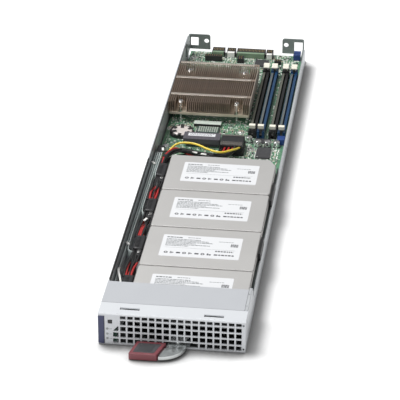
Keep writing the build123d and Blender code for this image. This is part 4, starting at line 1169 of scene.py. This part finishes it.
    def plug_details(self):
        """Tall caps over the drives' plugs with ribs and latch springs, and the wires' seats."""
        caps = Sketch()
        ribs = Sketch()
        springs = Sketch()
        for low, high in islands("drive_plugs"):
            power = high.y - low.y > POWER_PLUG_WIDTH
            left, top = (-52.0, 22.6) if power else (-49.0, 20.6)
            front, rear = (low.y - 7.0, high.y - 5.0) if power else (low.y - 2.0, high.y - 1.0)
            caps.box((left, front, self.cap_low), (self.cap_right, rear, top))
            if power:
                caps.box((left + 2.0, rear - 2.0, 15.0), (-44.5, rear + 4.0, top - 1.6))
            else:
                springs.box((-47.4, front + 3.6, top - SKIN), (-44.4, rear - 3.6, top + 0.3))
            for step in range(int((rear - front) / self.rib_pitch) - 1):
                y = front + 1.8 + step * self.rib_pitch
                ribs.box((left + 1.4, y - 0.4, top - 0.1), (left + 5.2, y + 0.4, top + 0.4))
        caps.piece("plug_caps", finish("black nylon"), "plug_black", bevel=1.3, segments=3)
        ribs.piece("plug_ribs", finish("black nylon"), "plug_black", bevel=0.12)
        springs.piece("plug_springs", finish("bright screw"), "screw_steel", bevel=0.08)
        self.wire_seats()

    def wire_seats(self):
        """Two rows of wire seats, each a dark pit of painted shade with its collar, and two bars on the power
        header's plug.
        """
        low, high = extent("power_plug")
        pits = Sketch()
        collars = Sketch()
        for step in range(8):
            x = low.x + 2.2 + step * (high.x - low.x - 4.4) / 7
            for y in (low.y + 1.6, low.y + 6.0):
                pits.post((x, y, high.z - 0.1), 0.8, 0.16, 12)
                collars.ring((x, y), 0.8, 1.35, high.z - SKIN, high.z + 0.45, 20)
        collars.box((low.x + 0.6, high.y - 3.2, high.z - SKIN), (high.x - 0.6, high.y - 0.8, high.z + 0.5))
        collars.box((low.x + 0.4, low.y + 3.3, high.z - SKIN), (high.x - 0.4, low.y + 4.3, high.z + 0.3))
        pits.piece("power_plug_pits", finish("recess"), "plug_black")
        collars.piece("power_plug_collars", finish("header grey"), "plug_black", bevel=0.1)

    def tags(self):
        """White tags on the cables."""
        tags = Sketch()
        for x, y, z, turn in self.tag_places:
            tags.box((x - 1.1, y - 2.8, z), (x + 1.1, y + 2.8, z + 1.0), turn)
        tags.piece("cable_tags", finish("white nylon"), "latch_cream", bevel=0.25)


# Motherboard
class BLADE_OT_motherboard(bpy.types.Operator):
    """Finish the motherboard and set its small parts"""

    bl_idname = "blade.motherboard"
    bl_label = "Motherboard"

    # What the small parts and the markings keep clear of.
    standing = (
        "chips", "capacitors", "chokes", "small_connectors", "rear_connectors", "board_screws",
        "battery_holder", "power_header", "flash_module", "cpu_socket",
        "memory_socket_1", "memory_socket_2", "memory_socket_3", "memory_socket_4",
    )
    # The small parts' finishes with a slot name for each, and how often each kind is drawn.
    kind_slots = {
        "resistor": "chip_black", "ceramic": "choke_grey", "pale part": "latch_cream", "chip": "chip_black",
        "solder": "capacitor_can",
    }
    drawn_kinds = ("resistor", "ceramic", "pale part", "chip")
    weights = (4, 5, 5, 1)
    crowded_weights = (2, 4, 12, 1)
    crowded_share = 0.22
    edge_gap = 0.6
    mark_count = 900

    def execute(self, context):
        paint("motherboard", finish("board"))
        taken = [pair for node in self.standing for pair in islands(node)]
        self.small_parts(context.scene.blade_sizes, taken)
        self.markings(taken)
        self.standoff_rings()
        return {"FINISHED"}

    def free(self, taken, x, y, half_x, half_y, gap=0.5):
        """Whether a small part at this place keeps clear of what stands on the board."""
        for low, high in taken:
            across = low.x - gap < x + half_x and x - half_x < high.x + gap
            if across and low.y - gap < y + half_y and y - half_y < high.y + gap:
                return False
        return True

    def small_parts(self, sizes, taken):
        """Small parts on a loose grid: two-pole parts and small chips, more of them beyond the cooler."""
        draw = random.Random(sizes.part_seed)
        pitch = sizes.part_pitch / MM
        low, high = extent("motherboard")
        base_low, base_high = extent("heatsink_base")
        drive_rear = extent("drive_1_case")[1].y
        kinds = {kind: Sketch() for kind in self.kind_slots}
        for row in range(int((high.y - low.y - 3) / pitch)):
            for column in range(int((high.x - low.x - 3) / pitch)):
                x = low.x + 2 + (column + draw.uniform(0.3, 0.7)) * pitch
                y = low.y + 2 + (row + draw.uniform(0.3, 0.7)) * pitch
                crowded = y > base_high.y or x > base_high.x
                keep = draw.random() < sizes.part_share + (self.crowded_share if crowded else 0.0)
                kind = draw.choices(self.drawn_kinds, self.crowded_weights if crowded else self.weights)[0]
                across = draw.random() < 0.5
                grow = draw.uniform(0.9, 1.5) if crowded else draw.uniform(0.8, 1.2)
                under = base_low.x + 6 < x < base_high.x - 6 and base_low.y + 8 < y < base_high.y - 6
                if not keep or under or y < drive_rear + 2:
                    continue
                long, short, tall = (1.2 * grow, 0.9, 0.9) if kind == "chip" else (1.0 * grow, 0.5 * grow, 0.55)
                half_x, half_y = (long, short) if across else (short, long)
                if y + half_y > high.y - self.edge_gap or x + half_x > high.x - self.edge_gap:
                    continue
                if self.free(taken, x, y, half_x, half_y):
                    top = BOARD_TOP + tall
                    self.small_part(kinds[kind], kinds["solder"], x, y, half_x, half_y, top, across)
        for kind, sketch in kinds.items():
            sketch.piece("board_" + kind.replace(" ", "_") + "s", finish(kind), self.kind_slots[kind])

    def small_part(self, body, solder, x, y, half_x, half_y, top, across):
        """A block with a soldered end at each side, or at its front and rear."""
        body_x = half_x * 0.72
        body_y = half_y if across else half_y * 0.72
        body.box((x - body_x, y - body_y, BOARD_TOP), (x + body_x, y + body_y, top))
        end_x = half_x * 0.16 if across else half_x
        end_y = half_y if across else half_y * 0.16
        for sign in (-1, 1):
            cx = x + sign * half_x * 0.86 if across else x
            cy = y if across else y + sign * half_y * 0.86
            solder.box((cx - end_x, cy - end_y, BOARD_TOP), (cx + end_x, cy + end_y, top - 0.03))

    def markings(self, taken):
        """White printed outlines and short bars on the board. None is a letter."""
        draw = random.Random(5)
        marks = Sketch()
        bottom, top = BOARD_TOP, BOARD_TOP + 0.03
        board_low, board_high = extent("motherboard")
        line = 0.18
        for low, high in taken:
            if high.x - low.x > 60 or high.z - low.z < 1.0:
                continue
            x0, x1 = low.x - 0.7, high.x + 0.7
            y0, y1 = low.y - 0.7, min(high.y + 0.7, board_high.y - 0.3)
            marks.box((x0, y0, bottom), (x1, y0 + line, top))
            marks.box((x0, y1 - line, bottom), (x1, y1, top))
            marks.box((x0, y0 + line, bottom), (x0 + line, y1 - line, top))
            marks.box((x1 - line, y0 + line, bottom), (x1, y1 - line, top))
        for _ in range(self.mark_count):
            x = draw.uniform(board_low.x + 3, board_high.x - 3)
            y = draw.uniform(board_low.y + 3, board_high.y - 3)
            run = draw.uniform(0.8, 3.0)
            if self.free(taken, x, y, run / 2, 0.4, 0.2):
                marks.box((x - run / 2, y - 0.3, bottom), (x + run / 2, y + 0.3, top))
        marks.piece("board_markings", finish("silk"), "latch_cream")

    def standoff_rings(self):
        """Bare copper rings round the board's screws."""
        rings = Sketch()
        for low, high in islands("board_screws"):
            middle = (low + high) / 2
            rings.ring((middle.x, middle.y), 1.8, 3.9, BOARD_TOP, BOARD_TOP + 0.05)
        rings.piece("screw_rings", finish("solder"), "capacitor_can")


# Processor and cooler
class BLADE_OT_cooler(bpy.types.Operator):
    """Finish the processor, the heatsink, its screws and springs"""

    bl_idname = "blade.cooler"
    bl_label = "Processor and cooler"

    # Rows of tabs: the fronts of the first two, the tabs' length, their pitch and the last one's right end.
    tab_fronts = (431.5, 471.0)
    tab_length = 4.0
    tab_pitch = 2.0
    tab_right = 17.4
    # Spring screws.
    head_height = 2.0
    shank_radius = 1.4
    wire_radius = 0.36
    coil_radius, coil_turns, coil_points = 2.1, 5.5, 12

    def execute(self, context):
        paint("cpu_socket", finish("socket frame"))
        paint("cpu", finish("cell"))
        paint("heatsink_base", finish("sink base"))
        paint("heatsink_fins", finish("fin"))
        self.bands()
        self.screws()
        return {"FINISHED"}

    def bands(self):
        """Folded tabs at the fins' tops, one plate to each gap, in three rows that stop short of the right."""
        low, high = extent("heatsink_fins")
        tabs = Sketch()
        for front in (*self.tab_fronts, high.y - self.tab_length):
            x = low.x + 0.25
            while x + self.tab_pitch < self.tab_right:
                rear = front + self.tab_length + SKIN
                tab_low = (x + 0.04, front - SKIN, high.z - 0.62)
                tabs.box(tab_low, (x + self.tab_pitch - 0.04, rear, high.z + 0.08))
                x += self.tab_pitch
        tabs.piece("fin_tabs", finish("fin band"), "sink_base", bevel=0.12)
        # Lighter faces on the fin stack's right end and below its front: painted light.
        faces = Sketch()
        faces.box((high.x - INK, low.y + 0.3, low.z + 0.2), (high.x + 0.3, high.y - 0.3, high.z + SKIN))
        faces.box((low.x + 0.4, low.y - 0.25, low.z - 2.6), (high.x - 0.4, low.y + INK, low.z - 0.3))
        faces.piece("cooler_faces_painted_light", finish("sink side"), "sink_base", bevel=0.06)

    def screws(self):
        """Spring screws: a collared head with a cross, a shank with a foot, and the spring round it."""
        heads = Sketch()
        shanks = Sketch()
        marks = Sketch()
        coils = []
        base_top = extent("heatsink_base")[1].z
        for low, high in islands("heatsink_screws"):
            middle = (low + high) / 2
            head_low = high.z - self.head_height
            heads.post((middle.x, middle.y, head_low), 2.8, 0.7, 32)
            heads.post((middle.x, middle.y, head_low + 0.7), 2.6, 1.2, 32, 2.2)
            shanks.post((middle.x, middle.y, low.z), self.shank_radius, head_low - low.z, 20)
            shanks.post((middle.x, middle.y, low.z), 1.9, 1.8, 20)
            for turn in (45, 135):
                arm_low = (middle.x - 1.5, middle.y - 0.35, high.z - 0.3)
                marks.box(arm_low, (middle.x + 1.5, middle.y + 0.35, high.z - 0.06), turn)
            coils.append(self.coil(middle.x, middle.y, base_top + 0.4, head_low - 0.4))
        made = heads.piece("cooler_screw_heads", finish("bright screw"), "sink_screw", bevel=0.15)
        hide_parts("heatsink_screws")
        shanks.piece("cooler_screw_shanks", finish("bright screw"), "sink_screw", bevel=0.1)
        # Dark crosses: painted shade in the heads' recesses.
        marks.piece("cooler_screw_crosses", finish("recess"), "clip_black")
        springs = curve_piece("cooler_springs", coils, self.wire_radius, finish("spring"))
        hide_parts("heatsink_springs")

    def coil(self, x, y, low, high):
        """Points of a coil spring's wire from its lower end."""
        steps = int(self.coil_turns * self.coil_points)
        route = []
        for step in range(steps + 1):
            angle = 2 * math.pi * step / self.coil_points
            route.append((*on_circle(x, y, self.coil_radius, angle), low + (high - low) * step / steps))
        return route


# Memory sockets
class BLADE_OT_memory(bpy.types.Operator):
    """Finish the memory sockets, their contacts and latches"""

    bl_idname = "blade.memory"
    bl_label = "Memory sockets"

    contact_pitch = 1.27
    # Height of the contacts above the board, and how far their row stays from the socket's ends.
    contact_height = 6.5
    row_inset = 9.0
    # Distance of the side ribs from the socket's middle.
    rib_reach = 3.25

    def execute(self, context):
        contacts = Sketch()
        ribs = {"memory black": Sketch(), "memory blue": Sketch()}
        top = BOARD_TOP + self.contact_height
        for number in range(1, 5):
            look = "memory blue" if number % 2 == 0 else "memory black"
            paint(f"memory_socket_{number}", finish(look))
            for end in ("front", "rear"):
                paint(f"memory_{number}_{end}_latch", finish("latch"))
            low, high = extent(f"memory_socket_{number}")
            middle = (low.x + high.x) / 2
            y = low.y + self.row_inset
            while y < high.y - self.row_inset:
                contacts.box((middle - 2.9, y, top - 0.6), (middle - 0.78, y + 0.8, top + 0.06))
                for x in (middle - self.rib_reach, middle + self.rib_reach):
                    ribs[look].box((x - 0.12, y, BOARD_TOP + 0.4), (x + 0.12, y + 0.5, top - 0.6))
                y += self.contact_pitch
        contacts.piece("memory_contacts", finish("dull contact"), "screw_steel")
        ribs["memory black"].piece("black_socket_ribs", finish("memory black"), "memory_black")
        ribs["memory blue"].piece("blue_socket_ribs", finish("memory blue"), "memory_blue")
        return {"FINISHED"}


# Larger board parts
class BLADE_OT_board_parts(bpy.types.Operator):
    """Finish the battery, module, chips, capacitors, chokes and connectors"""

    bl_idname = "blade.board_parts"
    bl_label = "Board parts"

    nodes = {
        "battery_holder": "black nylon",
        "battery_cell": "coin",
        "flash_module": "module",
        "chips": "chip",
        "capacitors": "can",
        "chokes": "choke",
        "small_connectors": "black nylon",
        "rear_connectors": "black nylon",
    }
    # Direction in degrees and half length of each claw that holds the coin cell, and their outer radius.
    claws = ((28, 2.6), (95, 3.4), (152, 2.4), (205, 3.0), (262, 1.8), (325, 2.6))
    claw_radius = 11.6
    # Chips wider than this have a pad pattern on their lid.
    lidded_chip = 20
    leg_pitch, leg_width, leg_reach, leg_height = 0.8, 0.45, 1.3, 0.4
    # Small connectors wider than this are bars, and the one beyond this place is the blue port.
    bar_width = 20
    blue_port_left = 56
    bar_rib_pitch = 1.3
    pin_pitch = 2.0
    # The rear connectors' finishes, in turn from the left.
    rear_looks = ("port green", "white nylon")
    rear_pin_pitch = 1.5

    def execute(self, context):
        for node, look in self.nodes.items():
            paint(node, finish(look))
        self.battery()
        self.module_label()
        self.chip_details()
        self.capacitor_details()
        self.connector_details()
        return {"FINISHED"}

    def battery(self):
        """The coin cell's rim and plus sign, the holder's claws and its clip."""
        low, high = extent("battery_cell")
        middle = (low + high) / 2
        bottom = high.z - SKIN
        face = Sketch()
        face.ring((middle.x, middle.y), 7.6, 8.1, bottom, high.z + 0.12, 48)
        for half_x, half_y in ((2.4, 0.35), (0.35, 2.4)):
            bar_low = (middle.x - half_x, middle.y - half_y, bottom)
            face.box(bar_low, (middle.x + half_x, middle.y + half_y, high.z + 0.1))
        face.piece("battery_face", finish("coin"), "cell_steel")
        claws = Sketch()
        for angle, reach in self.claws:
            x, y = on_circle(middle.x, middle.y, self.claw_radius - reach, math.radians(angle))
            claws.box((x - reach, y - 1.7, bottom), (x + reach, y + 1.7, high.z + 0.75), angle)
        claws.piece("battery_claws", finish("black nylon"), "port_black", bevel=0.25)
        clip = Sketch()
        left, right, rear = middle.x - 3.0, middle.x + 3.0, middle.y + 12.4
        clip.box((left, middle.y + 8.2, high.z - 0.2), (right, rear, high.z + 0.35))
        clip.box((left, middle.y + 12.0, BOARD_TOP), (right, rear, high.z + 0.2))
        clip.piece("battery_clip", finish("bright screw"), "cell_steel", bevel=0.15)

    def module_label(self):
        """The dark module's label with two rows of bars, and the ribs in front of it. None is a letter."""
        low, high = extent("flash_module")
        sheet = Sketch()
        sheet.box((low.x + 4.2, low.y + 6.8, high.z), (high.x - 5.2, high.y - 2.4, high.z + 0.12))
        sheet.piece("module_label", finish("label"), "drive_lid", bevel=0.03)
        marks = Sketch()
        draw = random.Random(9)
        for y in (low.y + 8.4, low.y + 10.6):
            x = low.x + 6.0
            while x < high.x - 8:
                run = draw.uniform(0.8, 2.6)
                marks.box((x, y, high.z + 0.1), (x + run, y + 1.0, high.z + 0.14))
                x += run + 0.6
        marks.piece("module_print", finish("print"), "drive_lid")
        ribs = Sketch()
        for step in range(9):
            x = low.x + 3.0 + step * (high.x - low.x - 6.0) / 8
            ribs.box((x - 0.5, low.y + 1.0, high.z), (x + 0.5, low.y + 5.2, high.z + 0.3))
        ribs.piece("module_ribs", finish("module"), "flash_grey", bevel=0.1)

    def chip_details(self):
        """Legs on four sides and a dot on every chip, and the large one's lid with its pads."""
        legs = Sketch()
        dots = Sketch()
        lids = Sketch()
        pads = Sketch()
        for low, high in islands("chips"):
            if high.x - low.x > self.lidded_chip:
                lids.box((low.x + 0.7, low.y + 0.7, high.z - SKIN), (high.x - 0.7, high.y - 0.7, high.z + 0.3))
                for row in range(5):
                    for column in range(9):
                        x, y = low.x + 1.9 + column * 2.2, low.y + 1.5 + row * 2.4
                        pads.box((x, y, high.z + 0.2), (x + 1.5, y + 1.3, high.z + 0.75))
            dots.post((low.x + 1.6, low.y + 1.6, high.z - 0.01), 0.5, 0.04, 12)
            self.legs(legs, low, high)
        lids.piece("chip_lid", finish("dark green"), "chip_black", bevel=0.1)
        pads.piece("chip_pads", finish("chip lid"), "chip_black", bevel=0.08)
        legs.piece("chip_legs", finish("solder"), "capacitor_can")
        dots.piece("chip_dots", finish("pale part"), "latch_cream")

    def legs(self, sketch, low, high):
        """Rows of legs out of a chip's four sides."""
        top = BOARD_TOP + self.leg_height
        for near, far in ((low.x - self.leg_reach, low.x), (high.x, high.x + self.leg_reach)):
            y = low.y + 1.0
            while y < high.y - 1.0:
                sketch.box((near, y, BOARD_TOP), (far, y + self.leg_width, top))
                y += self.leg_pitch
        for near, far in ((low.y - self.leg_reach, low.y), (high.y, high.y + self.leg_reach)):
            x = low.x + 1.0
            while x < high.x - 1.0:
                sketch.box((x, near, BOARD_TOP), (x + self.leg_width, far, top))
                x += self.leg_pitch

    def capacitor_details(self):
        """A black foot under each can and a dark mark on its top."""
        feet = Sketch()
        marks = Sketch()
        for low, high in islands("capacitors"):
            middle = (low + high) / 2
            feet.box((low.x - 0.2, low.y - 0.2, BOARD_TOP), (high.x + 0.2, high.y + 0.2, BOARD_TOP + 0.7))
            outline = [on_circle(middle.x, middle.y, 2.5, math.radians(angle)) for angle in range(60, 181, 15)]
            marks.prism(outline, high.z - INK, high.z + 0.03)
        feet.piece("capacitor_feet", finish("black nylon"), "port_black", bevel=0.2)
        marks.piece("capacitor_marks", finish("dark print"), "port_black")

    def connector_details(self):
        """Pins, a ribbed pale cap on the bar, and the shells of the blue port and the rear connectors."""
        pins = Sketch()
        bar = Sketch()
        shells = {"blue port": Sketch(), "port green": Sketch(), "white nylon": Sketch()}
        for low, high in islands("small_connectors"):
            if low.y < DATA_PORTS_REAR:
                continue
            if high.x > self.blue_port_left:
                shell_low = (low.x - 0.15, low.y - 0.15, BOARD_TOP + 0.2)
                shells["blue port"].box(shell_low, (high.x + 0.15, high.y + 0.15, high.z + 0.15))
            elif high.x - low.x > self.bar_width:
                bar.box((low.x - 0.2, low.y + 0.3, high.z - 1.2), (high.x + 0.2, high.y + 3.6, high.z + 0.4))
                for step in range(int((high.x - low.x) / self.bar_rib_pitch)):
                    x = low.x + 0.8 + step * self.bar_rib_pitch
                    bar.box((x, low.y + 1.0, high.z + 0.3), (x + 0.6, high.y + 2.8, high.z + 0.6))
            else:
                self.header_pins(pins, low, high)
        for number, (low, high) in enumerate(islands("rear_connectors")):
            shell = shells[self.rear_looks[number % 2]]
            shell.box((low.x + 0.6, low.y - 0.1, BOARD_TOP + 0.2), (high.x - 0.6, low.y + 3.4, high.z + 0.15))
            span = high.x - low.x - 2.0
            steps = int(span / self.rear_pin_pitch)
            for step in range(steps):
                x = low.x + 1.0 + (step + 0.5) * span / steps
                pins.box((x - 0.25, high.y - 7.0, high.z - 0.2), (x + 0.25, high.y - 2.0, high.z + 0.12))
        pins.piece("connector_pins", finish("gold"), "screw_steel")
        bar.piece("connector_cap", finish("pale bar"), "latch_cream", bevel=0.15)
        slots = {"blue port": "memory_blue", "port green": "control_board", "white nylon": "latch_cream"}
        for look, shell in shells.items():
            shell.piece(look.replace(" ", "_") + "_shells", finish(look), slots[look], bevel=0.25)

    def header_pins(self, sketch, low, high):
        """Two rows of square pins along a small header."""
        wide = high.x - low.x
        deep = high.y - low.y
        middle = (low + high) / 2
        steps = int(max(wide, deep) / self.pin_pitch)
        for step in range(steps):
            along = (step + 0.5) * max(wide, deep) / steps
            for shift in (-1, 1):
                x, y = (low.x + along, middle.y + shift) if wide > deep else (middle.x + shift, low.y + along)
                sketch.box((x - 0.3, y - 0.3, high.z - 0.3), (x + 0.3, y + 0.3, high.z + 0.8))


# Fasteners
class BLADE_OT_fasteners(bpy.types.Operator):
    """Finish the screws and standoffs and give the heads their recesses"""

    bl_idname = "blade.fasteners"
    bl_label = "Fasteners"

    def execute(self, context):
        paint("standoffs", finish("zinc screw"))
        paint("board_screws", finish("bright screw"))
        paint("cover_screws", finish("zinc screw"))
        self.board_crosses()
        self.cover_crosses()
        return {"FINISHED"}

    def board_crosses(self):
        """Cross recesses in the board screws' heads, drawn as dark marks of painted shade."""
        crosses = Sketch()
        for low, high in islands("board_screws"):
            x, y, _ = (low + high) / 2
            for turn in (20, 110):
                crosses.box((x - 1.5, y - 0.3, high.z - 0.2), (x + 1.5, y + 0.3, high.z + INK), turn)
        crosses.piece("board_screw_crosses", finish("recess"), "clip_black")

    def cover_crosses(self):
        """Cross recesses in the cover screws' heads, on the sled's sides, drawn as dark marks of painted shade.
        """
        crosses = Sketch()
        for low, high in islands("cover_screws"):
            middle = (low + high) / 2
            x = high.x if middle.x > 0 else low.x
            for half_y, half_z in ((1.2, 0.25), (0.25, 1.2)):
                arm_low = (x - SKIN, middle.y - half_y, middle.z - half_z)
                crosses.box(arm_low, (x + SKIN, middle.y + half_y, middle.z + half_z))
        crosses.piece("cover_screw_crosses", finish("recess"), "clip_black")


OPERATORS = (
    BLADE_OT_stage,
    BLADE_OT_sheet_metal,
    BLADE_OT_front_controls,
    BLADE_OT_lever,
    BLADE_OT_drives,
    BLADE_OT_cables,
    BLADE_OT_motherboard,
    BLADE_OT_cooler,
    BLADE_OT_memory,
    BLADE_OT_board_parts,
    BLADE_OT_fasteners,
)


class BLADE_PT_sidebar(bpy.types.Panel):
    """Lists the sled's groups of pieces and their settings"""

    bl_idname = "BLADE_PT_sidebar"
    bl_label = "Blade server"
    bl_space_type = "VIEW_3D"
    bl_region_type = "UI"
    bl_category = "Blade server"

    def draw(self, context):
        for operator in OPERATORS:
            self.layout.operator(operator.bl_idname)
        for group in (context.scene.blade_colours, context.scene.blade_sizes, context.scene.blade_stage):
            box = self.layout.box()
            for name in group.__annotations__:
                box.prop(group, name)


GROUPS = {"blade_colours": BladeColours, "blade_sizes": BladeSizes, "blade_stage": BladeStage}


def register():
    """Registers the settings, the operators and the panel."""
    for group in GROUPS.values():
        bpy.utils.register_class(group)
    for name, group in GROUPS.items():
        setattr(bpy.types.Scene, name, bpy.props.PointerProperty(type=group))
    for operator in OPERATORS:
        bpy.utils.register_class(operator)
    bpy.utils.register_class(BLADE_PT_sidebar)


def unregister():
    """Takes the panel, the operators and the settings away again."""
    bpy.utils.unregister_class(BLADE_PT_sidebar)
    for operator in reversed(OPERATORS):
        bpy.utils.unregister_class(operator)
    for name, group in GROUPS.items():
        delattr(bpy.types.Scene, name)
        bpy.utils.unregister_class(group)


def main():
    register()
    for operator in OPERATORS:
        group, name = operator.bl_idname.split(".")
        getattr(getattr(bpy.ops, group), name)()


if __name__ == "__main__":
    main()
